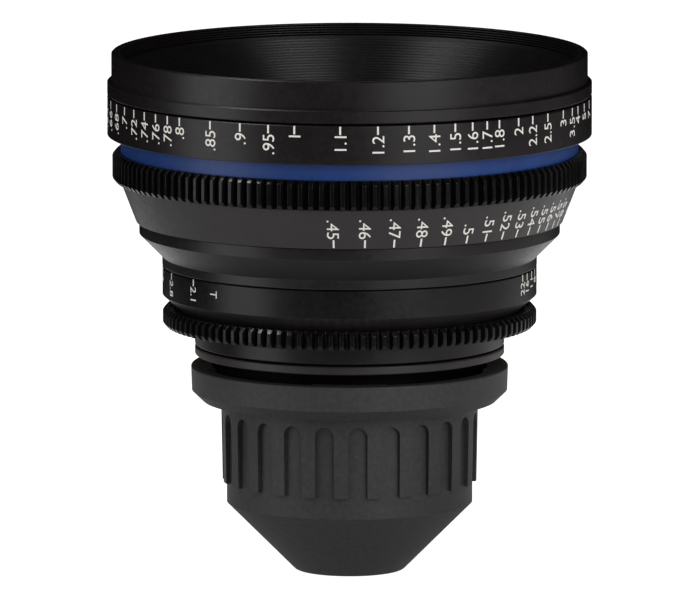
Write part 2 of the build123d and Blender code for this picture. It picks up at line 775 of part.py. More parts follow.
with BuildPart() as cam_rollers:
    for start in range(cam_starts):
        azimuth = cam_azimuth + start * 360 / cam_starts
        with BuildSketch(facing(azimuth, roller_height).offset(carrier_bore)):
            Circle(roller_shank)
        extrude(amount=carrier_wall + running_gap)
        with BuildSketch(facing(azimuth, roller_height).offset(carrier_radius + running_gap)):
            Circle(roller_radius)
        extrude(amount=roller_top - carrier_radius - running_gap)
keep(cam_rollers, "cam_rollers")

# Optics: a symmetrical six-element design about the iris
def sag(curve, radius):
    """How far a spherical surface has fallen from its vertex at a radius."""
    return curve - sqrt(curve ** 2 - radius ** 2)


def dome(vertex, curve, radius, side):
    """A spherical surface's half section, axis to edge: side 1 rises to the edge, side -1 falls."""
    middle = radius / 2
    ThreePointArc((0, vertex), (middle, vertex + side * sag(curve, middle)),
                  (radius, vertex + side * sag(curve, radius)))


with BuildPart() as element_1:
    with BuildSketch(Plane.XZ):
        with BuildLine():
            dome(first_vertex, front_curve, front_radius, -1)
            dome(first_back, front_back_curve, front_radius, -1)
            Line((0, first_back), (0, first_vertex))
            Line((front_radius, first_vertex - sag(front_curve, front_radius)),
                 (front_radius, first_back - sag(front_back_curve, front_radius)))
        make_face()
    revolve(axis=Axis.Z)
keep(element_1, "element_1")

with BuildPart() as element_2:
    with BuildSketch(Plane.XZ):
        with BuildLine():
            dome(second_vertex, second_curve, second_radius, -1)
            Polyline((0, second_vertex), (0, cement_plane), (second_radius, cement_plane),
                     (second_radius, second_vertex - sag(second_curve, second_radius)))
        make_face()
    revolve(axis=Axis.Z)
keep(element_2, "element_2")

third_edge = third_back - sag(third_curve, third_clear_radius)

with BuildPart() as element_3:
    with BuildSketch(Plane.XZ):
        with BuildLine():
            dome(third_back, third_curve, third_clear_radius, -1)
            Polyline((third_clear_radius, third_edge), (second_radius, third_edge),
                     (second_radius, cement_plane), (0, cement_plane), (0, third_back))
        make_face()
    revolve(axis=Axis.Z)
keep(element_3, "element_3")

fourth_edge = fourth_vertex + sag(fourth_curve, fourth_clear_radius)

with BuildPart() as element_4:
    with BuildSketch(Plane.XZ):
        with BuildLine():
            dome(fourth_vertex, fourth_curve, fourth_clear_radius, 1)
            Polyline((fourth_clear_radius, fourth_edge), (rear_doublet_radius, fourth_edge),
                     (rear_doublet_radius, rear_cement_plane), (0, rear_cement_plane), (0, fourth_vertex))
        make_face()
    revolve(axis=Axis.Z)
keep(element_4, "element_4")

fifth_edge = fifth_back + sag(fifth_curve, rear_doublet_radius)

with BuildPart() as element_5:
    with BuildSketch(Plane.XZ):
        with BuildLine():
            dome(fifth_back, fifth_curve, rear_doublet_radius, 1)
            Polyline((rear_doublet_radius, fifth_edge), (rear_doublet_radius, rear_cement_plane),
                     (0, rear_cement_plane), (0, fifth_back))
        make_face()
    revolve(axis=Axis.Z)
keep(element_5, "element_5")

sixth_front_edge = sixth_vertex - sag(sixth_front_curve, sixth_radius)
sixth_back_edge = sixth_back + sag(sixth_back_curve, sixth_radius)

with BuildPart() as element_6:
    with BuildSketch(Plane.XZ):
        with BuildLine():
            dome(sixth_vertex, sixth_front_curve, sixth_radius, -1)
            dome(sixth_back, sixth_back_curve, sixth_radius, 1)
            Line((0, sixth_vertex), (0, sixth_back))
            Line((sixth_radius, sixth_front_edge), (sixth_radius, sixth_back_edge))
        make_face()
    revolve(axis=Axis.Z)
keep(element_6, "element_6")

# Front cell: seats for the first three elements, with the iris below it
cell_gap = 0.02
cell_flange = 1.6
first_seat_lip = 0.9
nose_wall = 2.3
seat_lip_width = 2.7
seat_lip = 0.7
iris_wall = 1.4
iris_floor = 1.2
iris_base_drop = 2.4
lid_flange = 1.2
actuator_bore_gap = 0.6
actuator_thickness = 1.0
actuator_gap = 0.1

first_edge_front = first_vertex - sag(front_curve, front_radius)
first_edge_back = first_back - sag(front_back_curve, front_radius)
second_edge = second_vertex - sag(second_curve, second_radius)
step_height = second_edge + first_seat_lip
cell_base = third_edge - cell_gap - seat_lip
nose_radius = second_radius + nose_wall
seat_lip_radius = second_radius - seat_lip_width
actuator_bore = nose_radius + actuator_bore_gap
iris_chamber = iris_radius - iris_wall
iris_base_height = stop_plane - iris_base_drop
iris_floor_top = iris_base_height + iris_floor
lid_base = cell_base + seat_lip + cell_gap + actuator_gap

with BuildPart() as front_cell:
    turn(
        (seat_lip_radius, cell_base), (nose_radius, cell_base), (nose_radius, lid_base),
        (iris_radius - edge_break, lid_base), (iris_radius - edge_break, lid_base + lid_flange),
        (cell_neck_radius, lid_base + lid_flange), (cell_neck_radius, cell_seat - cell_gap - cell_flange),
        (cell_flange_radius, cell_seat - cell_gap - cell_flange), (cell_flange_radius, cell_seat - cell_gap),
        (cell_neck_radius, cell_seat - cell_gap), (cell_neck_radius, cell_top), (ring_mouth_radius, cell_top),
        (ring_mouth_radius, ring_shoulder_height), (front_radius + cell_gap, ring_shoulder_height),
        (front_radius + cell_gap, step_height), (second_radius + cell_gap, step_height),
        (second_radius + cell_gap, third_edge - cell_gap), (seat_lip_radius, third_edge - cell_gap),
    )
    drill(screw_hole, cell_screw_circle, 0, cell_screw_count,
          cell_seat - cell_gap - cell_flange, cell_seat - cell_gap)
keep(front_cell, "front_cell")

with BuildPart() as cell_screws:
    cap_screws(cell_screw_circle, 0, cell_screw_count,
               cell_seat - cell_gap - cell_flange, cell_seat + carrier_flange, -1)
keep(cell_screws, "cell_screws")

spacer_inset = 0.5

spacer_bore = second_radius - spacer_inset
spacer_lip_height = second_vertex - sag(second_curve, spacer_bore) + cell_gap

with BuildPart() as front_spacer:
    turn(
        (spacer_bore, spacer_lip_height), (second_radius - cell_gap, spacer_lip_height),
        (second_radius - cell_gap, step_height + cell_gap), (front_radius - cell_gap, step_height + cell_gap),
        (front_radius - cell_gap, first_edge_back - cell_gap),
        (second_radius + first_seat_lip, first_edge_back - cell_gap),
        (spacer_bore, step_height + first_seat_lip),
    )
keep(front_spacer, "front_spacer")

retainer_inset = 0.7
retainer_mouth_inset = 0.9
retainer_lift = 0.55

retainer_bore = front_radius - retainer_inset
retainer_mouth = ring_mouth_radius - retainer_mouth_inset

with BuildPart() as front_retaining_ring:
    turn(
        (retainer_bore, first_edge_front + retainer_lift),
        (front_radius - cell_gap, first_edge_front + retainer_lift),
        (front_radius - cell_gap, ring_shoulder_height + cell_gap),
        (ring_mouth_radius - cell_gap, ring_shoulder_height + cell_gap),
        (ring_mouth_radius - cell_gap, cell_top), (retainer_mouth, cell_top),
    )
keep(front_retaining_ring, "front_retaining_ring")

# Iris: base with the pivots, blades stacked on it, and the actuator ring with a cam slot for each blade
pivot_circle = 18.2
pin_radius = 0.35
pin_length_gap = 0.2
blade_inner = 10.2
blade_outer = 16.2
blade_start = -8.0
blade_end = 118.0
blade_tab_radius = 1.2
blade_neck = 1.1
blade_tail_radius = 0.8
tail_length = 6.0
tail_angle = -104.65
blade_thickness = 0.12
blade_pitch = 0.18
blade_clearance = 0.15
pivot_azimuth = 5.0
fork_half_width = 2.7
fork_end = 0.4
fork_overlap = 1.0
iris_clear_radius = 11.0

blade_base = iris_floor_top + blade_clearance
actuator_base = blade_base + blade_count * blade_pitch + actuator_gap
actuator_top = actuator_base + actuator_thickness
fork_reach = bar_outer + fork_end
fork_root = iris_chamber - fork_overlap
blade_turned = blade_ratio * iris_turn_to_open
fork_margin = degrees(asin((fork_half_width + free_gap) / iris_chamber))
fork_window_start = bar_azimuth - iris_turn_to_open - fork_margin
fork_window_span = iris_turn + 2 * fork_margin

with BuildPart() as iris_base:
    turn(
        (iris_clear_radius, iris_base_height), (iris_radius, iris_base_height),
        (iris_radius, lid_base - cell_gap), (iris_chamber, lid_base - cell_gap),
        (iris_chamber, iris_floor_top), (iris_clear_radius, iris_floor_top),
    )
    turn_sector(fork_window_start, fork_window_span,
                *block(iris_chamber - overrun, iris_radius + overrun,
                       actuator_base - free_gap, actuator_top + free_gap))
    drill(pin_radius + running_gap, pivot_circle, pivot_azimuth, blade_count,
          iris_base_height, iris_floor_top)
keep(iris_base, "iris_base")

with BuildPart() as iris_cover:
    turn(*block(actuator_bore, iris_chamber - running_gap,
                actuator_top + actuator_gap, lid_base - cell_gap))
keep(iris_cover, "iris_cover")


def moved_about(point, centre, angle):
    """A point turned about a centre, in degrees."""
    a = radians(angle)
    x = point[0] - centre[0]
    y = point[1] - centre[1]
    return (centre[0] + x * cos(a) - y * sin(a), centre[1] + x * sin(a) + y * cos(a))


def drive_pin_at(ring_angle, azimuth):
    """Where a blade's drive pin stands when the ring has turned this far from wide open."""
    pivot = (pivot_circle, 0)
    tail = on_circle(tail_length, tail_angle + blade_ratio * ring_angle)
    return moved_about((pivot[0] + tail[0], tail[1]), (0, 0), azimuth)


def slot_point(ring_angle, azimuth):
    """The same pin, seen from the actuator ring in its rest position."""
    return moved_about(drive_pin_at(ring_angle, azimuth), (0, 0), iris_turn_to_open - ring_angle)


slot_play = 0.1
slot_overtravel = 1.5

with BuildPart() as iris_actuator:
    turn(*block(actuator_bore, iris_chamber - running_gap, actuator_base, actuator_top))
    with BuildSketch(spoke(bar_azimuth, actuator_base)):
        with Locations(((fork_root + fork_reach) / 2, 0)):
            Rectangle(fork_reach - fork_root, 2 * fork_half_width)
    extrude(amount=actuator_thickness)
    with BuildSketch(spoke(bar_azimuth, actuator_base)):
        with Locations(((bar_inner + fork_reach) / 2, 0)):
            Rectangle(fork_reach - bar_inner + 2 * free_gap, 2 * (bar_half_width + running_gap))
    extrude(amount=actuator_thickness, mode=Mode.SUBTRACT)
    for blade in range(blade_count):
        azimuth = pivot_azimuth + blade * 360 / blade_count
        path = ThreePointArc(
            slot_point(-slot_overtravel, azimuth), slot_point(iris_turn / 2, azimuth),
            slot_point(iris_turn + slot_overtravel, azimuth), mode=Mode.PRIVATE,
        )
        with BuildSketch(Plane.XY.offset(actuator_base)):
            SlotArc(path, 2 * (pin_radius + slot_play))
        extrude(amount=actuator_thickness, mode=Mode.SUBTRACT)
keep(iris_actuator, "iris_actuator")

for blade in range(blade_count):
    azimuth = pivot_azimuth + blade * 360 / blade_count
    height = blade_base + blade * blade_pitch
    pivot = Plane(origin=(*on_circle(pivot_circle, azimuth), height),
                  x_dir=(*on_circle(1, azimuth + blade_turned), 0), z_dir=(0, 0, 1))
    axis_point = (-pivot_circle, 0)
    tail_point = on_circle(tail_length, tail_angle)
    with BuildPart() as iris_blade:
        with BuildSketch(pivot):
            with BuildLine():
                outer = CenterArc(axis_point, blade_outer, blade_start, blade_end - blade_start)
                inner = CenterArc(axis_point, blade_inner, blade_start, blade_end - blade_start)
                Line(outer @ 0, inner @ 0)
                Line(outer @ 1, inner @ 1)
            make_face()
            with Locations(((blade_outer - pivot_circle - blade_neck) / 2, 0)):
                Rectangle(pivot_circle - blade_outer + blade_neck, 2 * blade_neck)
            Circle(blade_tab_radius)
            with Locations(tail_point):
                Circle(blade_tail_radius)
            with Locations((tail_point[0] / 2, tail_point[1] / 2)):
                Rectangle(tail_length, 2 * blade_tail_radius, rotation=tail_angle)
        extrude(amount=blade_thickness)
        with BuildSketch(pivot.offset(iris_base_height + pin_length_gap - height)):
            Circle(pin_radius)
        extrude(amount=height + blade_thickness - iris_base_height - pin_length_gap)
        with BuildSketch(pivot):
            with Locations(tail_point):
                Circle(pin_radius)
        extrude(amount=actuator_top - height)
    keep(iris_blade, f"iris_blade_{blade + 1:02d}")

# The drive bar reaches the actuator ring's fork wherever the lens block stands
bar_reach = 1.2

bar_base = actuator_base - travel_back - bar_reach

with BuildPart() as iris_drive_bar:
    with BuildSketch(half_plane(bar_azimuth)):
        with BuildLine():
            Polyline(
                (bar_inner, bar_base), (bar_outer, bar_base), (bar_outer, arm_base),
                (bar_tip, arm_base), (bar_tip, arm_base + arm_height), (bar_inner, arm_base + arm_height),
                close=True,
            )
        make_face()
    extrude(amount=bar_half_width, both=True)
    with BuildSketch(facing(bar_azimuth, bar_screw_height).offset(bar_tip - bar_screw_length)):
        Circle(bar_screw_radius + seat_gap)
    extrude(amount=bar_screw_length + overrun, mode=Mode.SUBTRACT)
keep(iris_drive_bar, "iris_drive_bar")

# Rear cell: a tube behind the iris base that holds the last three elements
rear_flange_top_gap = 0.05
rear_flange = 1.5
rear_flange_width = 3.5
rear_cell_wall = 3.0
rear_lip_width = 1.6
rear_ring_step = 0.45
rear_cell_tail = 1.3

rear_cell_radius = sixth_radius + rear_cell_wall
rear_flange_outer = rear_cell_radius + rear_flange_width
rear_clear_radius = rear_doublet_radius - rear_lip_width
rear_ring_radius = sixth_radius + rear_ring_step
rear_cell_top = iris_base_height - rear_flange_top_gap
rear_seat = fourth_edge + cell_gap
rear_step = fifth_edge - cell_gap
rear_ring_seat = sixth_back_edge - cell_gap
rear_cell_base = sixth_back - rear_cell_tail

with BuildPart() as rear_cell:
    turn(
        (rear_clear_radius, rear_cell_top), (rear_flange_outer, rear_cell_top),
        (rear_flange_outer, rear_cell_top - rear_flange), (rear_cell_radius, rear_cell_top - rear_flange),
        (rear_cell_radius, rear_cell_base), (rear_ring_radius, rear_cell_base),
        (rear_ring_radius, rear_ring_seat), (sixth_radius + cell_gap, rear_ring_seat),
        (sixth_radius + cell_gap, rear_step), (rear_doublet_radius + cell_gap, rear_step),
        (rear_doublet_radius + cell_gap, rear_seat), (rear_clear_radius, rear_seat),
    )
keep(rear_cell, "rear_cell")

rear_spacer_inset = 0.5

rear_spacer_bore = rear_doublet_radius - rear_spacer_inset
spacer_top_lip = fifth_back + sag(fifth_curve, rear_spacer_bore)
spacer_base_lip = sixth_vertex - sag(sixth_front_curve, rear_spacer_bore)

with BuildPart() as rear_spacer:
    turn(
        (rear_spacer_bore, spacer_base_lip + 2 * cell_gap),
        (sixth_radius - cell_gap, sixth_front_edge + 2 * cell_gap),
        (sixth_radius - cell_gap, rear_step - cell_gap),
        (rear_doublet_radius, rear_step - cell_gap), (rear_spacer_bore, spacer_top_lip - 2 * cell_gap),
    )
keep(rear_spacer, "rear_spacer")

rear_retainer_inset = 0.9

rear_retainer_bore = sixth_radius - rear_retainer_inset
rear_retainer_lip = sixth_back + sag(sixth_back_curve, rear_retainer_bore)

with BuildPart() as rear_retaining_ring:
    turn(
        (rear_retainer_bore, rear_cell_base), (rear_ring_radius - cell_gap, rear_cell_base),
        (rear_ring_radius - cell_gap, rear_ring_seat - cell_gap), (sixth_radius, rear_ring_seat - cell_gap),
        (rear_retainer_bore, rear_retainer_lip - 2 * cell_gap),
    )
keep(rear_retaining_ring, "rear_retaining_ring")

# Rear cap: rim over the lugs, inner tabs between them, ribbed body, cone and flat bottom
cap_rim_wall = 3.05
cap_rim_draft = 0.2
cap_rim_top = 4.55
cap_rim_depth = 1.4
cap_shoulder_step = 0.3
cap_shoulder_height = 2.45
cap_rib_wall = 1.35
cap_rib_draft = 0.35
cap_rib_length = 19.6
cap_band_wall = 1.4
cap_band_height = 5.15
cap_cone_height = 16.5
cap_bore_gap = 1.1
cap_wall = 2.0
cap_seat_gap = 0.05
cap_bottom_fillet = 1.5
cap_rim_fillet = 0.4
tab_gap = 0.6
tab_base = 3.5
tab_thickness = 1.0
tab_span = 30.0
channel_count = 24
channel_width = 4.6
channel_azimuth = front_azimuth + 3.7
channel_top = 6.35
channel_margin = 2.0

cap_bore = barrel_radius + cap_bore_gap
cap_band_radius = cap_bore + cap_band_wall
cap_rib_radius = cap_band_radius + cap_rib_wall
cap_rim_bore = lug_radius + free_gap
cap_shoulder_radius = cap_rim_bore + cap_shoulder_step
cap_rim_radius = cap_rim_bore + cap_rim_wall
tab_bore = mount_neck_radius + tab_gap
cap_shoulder_depth = cap_rim_depth + cap_shoulder_height
cap_rib_depth = cap_shoulder_depth + cap_rib_length
cap_band_depth = cap_rib_depth + cap_band_height
cap_depth = cap_band_depth + cap_cone_height
cap_bottom_radius = cap_band_radius - cap_cone_height
inner_cone_offset = cap_wall * sqrt(2)
inner_cone_depth = cap_band_depth + cap_band_radius - inner_cone_offset - cap_bore
inner_floor_radius = cap_band_radius - inner_cone_offset - (cap_cone_height - cap_wall)

with BuildPart() as cap_channels:
    for channel in range(channel_count):
        azimuth = channel_azimuth + channel * 360 / channel_count
        arch_centre = -channel_top - channel_width / 2
        with BuildSketch(facing(azimuth, arch_centre)):
            Circle(channel_width / 2)
            with Locations((0, -(cap_rib_depth + channel_margin + arch_centre) / 2)):
                Rectangle(channel_width, cap_rib_depth + channel_margin + arch_centre)
        extrude(amount=cap_rib_radius + overrun)
    turn(*block(cap_band_radius, cap_rib_radius + 2 * overrun, -cap_band_depth, 0), mode=Mode.INTERSECT)

with BuildPart() as rear_cap:
    turn(
        (0, -cap_depth + cap_wall), (0, -cap_depth), (cap_bottom_radius, -cap_depth),
        (cap_band_radius, -cap_band_depth), (cap_band_radius, -cap_rib_depth),
        (cap_rib_radius - cap_rib_draft, -cap_rib_depth), (cap_rib_radius, -cap_shoulder_depth),
        (cap_shoulder_radius, -cap_shoulder_depth), (cap_rim_radius - cap_rim_draft, -cap_rim_depth),
        (cap_rim_radius, cap_rim_top), (cap_rim_bore, cap_rim_top), (cap_rim_bore, -cap_seat_gap),
        (cap_bore, -cap_seat_gap), (cap_bore, -inner_cone_depth), (inner_floor_radius, -cap_depth + cap_wall),
    )
    bottom_edge = rear_cap.edges().group_by(Axis.Z)[0]
    fillet(bottom_edge, cap_bottom_fillet)
    rim_edge = rear_cap.edges().filter_by(GeomType.CIRCLE).group_by(Axis.Z)[-1].sort_by(SortBy.RADIUS)[-1]
    fillet(rim_edge, cap_rim_fillet)
    add(cap_channels.part, mode=Mode.SUBTRACT)
    for tab in range(lug_count):
        middle = lug_azimuth + (tab + 0.5) * 360 / lug_count
        turn_sector(middle - tab_span / 2, tab_span,
                    *block(tab_bore, cap_rim_bore + running_gap, tab_base, tab_base + tab_thickness),
                    mode=Mode.ADD)
keep(rear_cap, "rear_cap")
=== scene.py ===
# %% [markdown]
# A cinema prime lens stands on its rear cap. Everything that has a size and a fit comes from the packed
# model, so the first step loads it. It also keeps the outer box of the solids, for a comparison at the end.

# %% Load the frame
import json
import math
import bmesh
import bpy
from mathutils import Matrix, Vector


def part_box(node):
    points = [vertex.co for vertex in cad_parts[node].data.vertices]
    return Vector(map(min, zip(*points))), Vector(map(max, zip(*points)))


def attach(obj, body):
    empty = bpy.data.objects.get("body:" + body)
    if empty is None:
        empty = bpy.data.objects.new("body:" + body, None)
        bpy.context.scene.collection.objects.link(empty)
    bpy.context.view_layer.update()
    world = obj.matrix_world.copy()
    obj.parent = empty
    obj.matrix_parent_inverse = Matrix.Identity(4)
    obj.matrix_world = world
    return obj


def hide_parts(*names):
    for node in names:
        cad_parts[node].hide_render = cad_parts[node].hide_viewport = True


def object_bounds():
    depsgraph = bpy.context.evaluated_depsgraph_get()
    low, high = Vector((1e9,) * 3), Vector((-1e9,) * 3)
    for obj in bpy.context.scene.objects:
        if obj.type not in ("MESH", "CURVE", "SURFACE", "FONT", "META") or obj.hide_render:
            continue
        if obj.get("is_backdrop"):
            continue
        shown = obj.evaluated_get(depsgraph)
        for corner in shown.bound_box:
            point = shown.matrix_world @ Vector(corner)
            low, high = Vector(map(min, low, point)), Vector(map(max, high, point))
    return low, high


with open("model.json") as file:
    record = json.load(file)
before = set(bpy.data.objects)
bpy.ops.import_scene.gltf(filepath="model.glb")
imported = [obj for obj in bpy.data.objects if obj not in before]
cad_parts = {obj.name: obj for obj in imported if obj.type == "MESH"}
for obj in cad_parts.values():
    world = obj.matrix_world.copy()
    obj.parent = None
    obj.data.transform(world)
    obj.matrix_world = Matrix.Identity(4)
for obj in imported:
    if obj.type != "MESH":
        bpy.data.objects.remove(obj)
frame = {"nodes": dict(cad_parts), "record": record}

cad_low, cad_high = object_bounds()
nodes = frame["nodes"]
print("nodes", len(nodes), "box", [round(v, 4) for v in (*cad_low, *cad_high)])

# %% [markdown]
# Lens makers think in millimetres and degrees, and Blender works in metres and radians. A lens is round, so
# places on it are given by a radius, a height and an azimuth. The azimuth is measured about the optical
# axis, from the face that looks at the camera towards its right.

# %% Units
MM = 0.001


def around(radius, azimuth, height):
    """A point at a radius and height in millimetres, at an azimuth in degrees from the near face."""
    a = math.radians(azimuth)
    return Vector((radius * math.sin(a), -radius * math.cos(a), height)) * MM


print("solids from", round(cad_low.z / MM, 2), "to", round(cad_high.z / MM, 2), "mm")

# %% [markdown]
# Colours are written as sRGB hex values, the way a paint card or a colour picker gives them, and one
# function turns them to the linear values that shaders work with. A second small function adds a node
# with its settings and links, so that each material reads as a list of what it is made of.

# %% Colour and nodes


def linear(hex_colour):
    channels = [int(hex_colour[i:i + 2], 16) / 255 for i in (1, 3, 5)]
    return (*[c / 12.92 if c <= 0.04045 else ((c + 0.055) / 1.055) ** 2.4 for c in channels], 1.0)


def add(tree, kind, inputs=None, **settings):
    """One node of a kind: settings by name, inputs by name or number, as values or output sockets."""
    node = tree.nodes.new(kind)
    for name, value in settings.items():
        setattr(node, name, value)
    for name, value in (inputs or {}).items():
        if isinstance(value, bpy.types.NodeSocket):
            tree.links.new(value, node.inputs[name])
        else:
            node.inputs[name].default_value = value
    return node


def new_material(name):
    material = bpy.data.materials.new(name)
    material.use_nodes = True
    tree = material.node_tree
    return material, tree, tree.nodes["Principled BSDF"]


print("mid grey in linear light:", round(linear("#808080")[0], 3))

# %% [markdown]
# The camera stands three metres away with a very long lens and looks down by about 8 degrees. A close
# camera could frame the object as well, but the rings tell that this one was far off: how flat a ring's
# ellipse is gives the angle, and how little that changes from the front rim to the cap gives the distance.

# %% Camera
camera_distance = 2976.2 * MM
camera_height = 455.1 * MM
aim_height = 20.0 * MM
focal_length_mm = 645.0
sensor_width_mm = 36.0
axis_offset = 0.1 * MM

camera_data = bpy.data.cameras.new("camera")
camera_data.lens = focal_length_mm
camera_data.sensor_width = sensor_width_mm
camera_data.clip_end = 20.0
camera = bpy.data.objects.new("camera", camera_data)
camera.location = (axis_offset, -camera_distance, camera_height)
look = Vector((axis_offset, 0, aim_height)) - camera.location
camera.rotation_euler = look.to_track_quat("-Z", "Y").to_euler()
bpy.context.scene.collection.objects.link(camera)
bpy.context.scene.camera = camera
bpy.context.scene.view_settings.view_transform = "Standard"
print("camera looks down", round(math.degrees(math.asin(-look.normalized().z)), 1), "degrees")

# %% [markdown]
# The lens stands on white paper, which is burnt out to pure white in the photograph. Lamps that are bright
# enough for that would flood the black rings as well, so the paper here glows by itself, just under full
# white. It reaches six metres each way, which fills the picture without a separate backdrop.

# %% Table
table_height = cad_low.z
table_reach = 6.0
paper_glow = 0.95


def sheet(name, x_low, x_high, y_low, y_high, height):
    mesh = bpy.data.meshes.new(name)
    mesh.from_pydata([(x_low, y_low, height), (x_high, y_low, height),
                      (x_high, y_high, height), (x_low, y_high, height)], [], [(0, 1, 2, 3)])
    item = bpy.data.objects.new(name, mesh)
    bpy.context.scene.collection.objects.link(item)
    item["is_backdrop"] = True
    return item


paper, _, shader = new_material("pale_paper")
shader.inputs["Base Color"].default_value = linear("#bdbdbd")
shader.inputs["Roughness"].default_value = 0.9
shader.inputs["Emission Color"].default_value = linear("#ffffff")
shader.inputs["Emission Strength"].default_value = paper_glow
table = sheet("table", -table_reach, table_reach, -table_reach, table_reach, table_height)
table.data.materials.append(paper)
table.visible_glossy = False
table.visible_diffuse = False
print("table at", round(table_height / MM, 2), "mm")

# %% [markdown]
# Black anodised rings act as dark mirrors, so what the table shows in them matters as much as the lamps do.
# There the table isn't even: it is dim close under the lens and out to the left, bright behind on the right,
# and it ends. Painting that on the paper would spoil the white that the camera sees. So a second sheet, a
# tenth of a millimetre under the first, glows with that light and shade painted in: a painted reflection of
# the lit table, with a painted shadow close under the lens. Only light that has bounced off the lens sees it,
# and that glow also lights the lens from below.

# %% Painted reflection of the table
mirrored_drop = 0.1 * MM
mirrored_left, mirrored_right = -0.3, 0.6
mirrored_front, mirrored_back = -0.25, 0.4

reflection_glow_material, tree, shader = new_material("painted_table_reflection")
place = add(tree, "ShaderNodeTexCoord")
axes = add(tree, "ShaderNodeSeparateXYZ", {"Vector": place.outputs["Object"]})
reach = add(tree, "ShaderNodeVectorMath", {"Vector": place.outputs["Object"]}, operation="LENGTH")

# Each row paints part of the table's light and shade into the glow: what the fade runs along, where it
# starts and ends in metres, and the brightness at both ends.
fades = [
    # Painted shade: dim out to the left.
    (axes.outputs["X"], -0.3, -0.1, 0.2, 1.0),
    # Painted light: half as bright far out to the right.
    (axes.outputs["X"], 0.25, 0.55, 1.0, 0.45),
    # Dark behind, where the table ends.
    (axes.outputs["Y"], 0.22, 0.38, 1.0, 0.0),
    # Painted shadow: dim close under the lens, where the lens shades the table.
    (reach.outputs["Value"], 0.08, 0.2, 0.35, 1.0),
]
brightness = 1.0
for distance, start, end, brightness_at_start, brightness_at_end in fades:
    ramp = add(tree, "ShaderNodeMapRange",
               {"Value": distance, "From Min": start, "From Max": end,
                "To Min": brightness_at_start, "To Max": brightness_at_end},
               interpolation_type="SMOOTHSTEP")
    product = add(tree, "ShaderNodeMath", {0: brightness, 1: ramp.outputs["Result"]}, operation="MULTIPLY")
    brightness = product.outputs["Value"]
tree.links.new(brightness, shader.inputs["Emission Strength"])
shader.inputs["Emission Color"].default_value = linear("#ffffff")
shader.inputs["Base Color"].default_value = linear("#000000")

reflection_glow_sheet = sheet("painted_reflection_sheet", mirrored_left, mirrored_right, mirrored_front, mirrored_back,
                       table_height - mirrored_drop)
reflection_glow_sheet.data.materials.append(reflection_glow_material)
reflection_glow_sheet.visible_camera = False
reflection_glow_sheet.visible_shadow = False
print("mirrored table", round(mirrored_right - mirrored_left, 2), "by",
      round(mirrored_back - mirrored_front, 2), "m, with", len(fades), "fades")

# %% [markdown]
# The room adds a weak, even light from all round. The world could also be a studio picture, but the rings
# mirror only the lamps and the table, so plain white is enough, and glossy rays don't see it at all.

# %% Room light
room_light = 0.3
world = bpy.data.worlds.new("studio_room")
world.use_nodes = True
world.node_tree.nodes["Background"].inputs["Color"].default_value = linear("#ffffff")
world.node_tree.nodes["Background"].inputs["Strength"].default_value = room_light
world.cycles_visibility.glossy = False
bpy.context.scene.world = world
print("room light", room_light)

# %% [markdown]
# Three soft boxes light the lens. A lamp's place could be found by trial, but the round rings give it away:
# on a cylinder, a highlight at an angle from the middle is the picture of a lamp at twice that angle. The
# size of a box sets how wide its highlight is, and its power how bright.

# %% Soft boxes


def soft_box(name, azimuth, elevation, distance, width, height, watts):
    """A rectangular lamp that faces the middle of the lens. Distance and sides are in metres."""
    data = bpy.data.lights.new(name, "AREA")
    data.shape = "RECTANGLE"
    data.size = width
    data.size_y = height
    data.energy = watts
    lamp = bpy.data.objects.new(name, data)
    e = math.radians(elevation)
    target = Vector((0, 0, aim_height))
    lamp.location = target + around(distance * math.cos(e) / MM, azimuth, distance * math.sin(e) / MM)
    lamp.rotation_euler = (target - lamp.location).to_track_quat("-Z", "Y").to_euler()
    bpy.context.scene.collection.objects.link(lamp)
    print(name, "at", [round(v, 2) for v in lamp.location], "m")


soft_box("left_box", azimuth=-67, elevation=14, distance=1.2, width=0.8, height=1.1, watts=4.7)
soft_box("right_box", azimuth=33, elevation=24, distance=0.7, width=0.44, height=0.6, watts=2.5)
soft_box("top_box", azimuth=-79, elevation=59, distance=1.2, width=0.2, height=0.2, watts=2.6)

# %% [markdown]
# Every real surface is a little uneven in colour and polish, in cloudy patches. A painted picture could
# show that, but it has to be unwrapped onto every part and blurs up close. A noise texture in the object's
# own space has neither trouble, and its scale is simply one over the size of a patch. Most of its values lie
# between 0.3 and 0.7, so that part is stretched to the two levels that a finish needs.

# %% Cloudy patches
noise_low, noise_high = 0.3, 0.7


def patches(tree, size_mm, low=0.0, high=1.0):
    """A cloudy value between two levels, with patches of a real size."""
    place = add(tree, "ShaderNodeTexCoord")
    noise = add(tree, "ShaderNodeTexNoise",
                {"Vector": place.outputs["Object"], "Scale": 1 / (size_mm * MM), "Detail": 3.0})
    return add(tree, "ShaderNodeMapRange",
               {"Value": noise.outputs["Fac"], "From Min": noise_low, "From Max": noise_high,
                "To Min": low, "To Max": high})


def patchy_colour(tree, dark, light, size_mm):
    """Two close shades of one colour, mixed in patches. The Mix node's colours are inputs 6 and 7."""
    cloud = patches(tree, size_mm)
    mixed = add(tree, "ShaderNodeMix",
                {"Factor": cloud.outputs["Result"], 6: linear(dark), 7: linear(light)}, data_type="RGBA")
    return mixed.outputs[2]


print("a 6 mm patch is noise scale", round(1 / (6 * MM)))

# %% [markdown]
# A lathe leaves fine rings about the axis. They could be cut into the mesh, but thousands of tiny steps
# would cost far more than they show, so a wave texture along the axis draws them as a bump. Where the rings
# are deep, they also draw a highlight out along the axis, because they tilt the surface up and down but
# never sideways. The shader's anisotropy does that, turned a quarter from the direction round the axis.

# %% Turning rings
wave_repeat = math.pi / 10
ring_wander = 0.6
quarter_turn = 0.25


def rings_bump(tree, pitch_mm, depth_mm):
    """Rings about the optical axis. At scale 1 the wave texture repeats every wave_repeat metres."""
    place = add(tree, "ShaderNodeTexCoord")
    wave = add(tree, "ShaderNodeTexWave",
               {"Vector": place.outputs["Object"], "Scale": wave_repeat / (pitch_mm * MM),
                "Distortion": ring_wander, "Detail": 1.0}, wave_type="BANDS", bands_direction="Z")
    return add(tree, "ShaderNodeBump", {"Height": wave.outputs["Fac"], "Distance": depth_mm * MM})


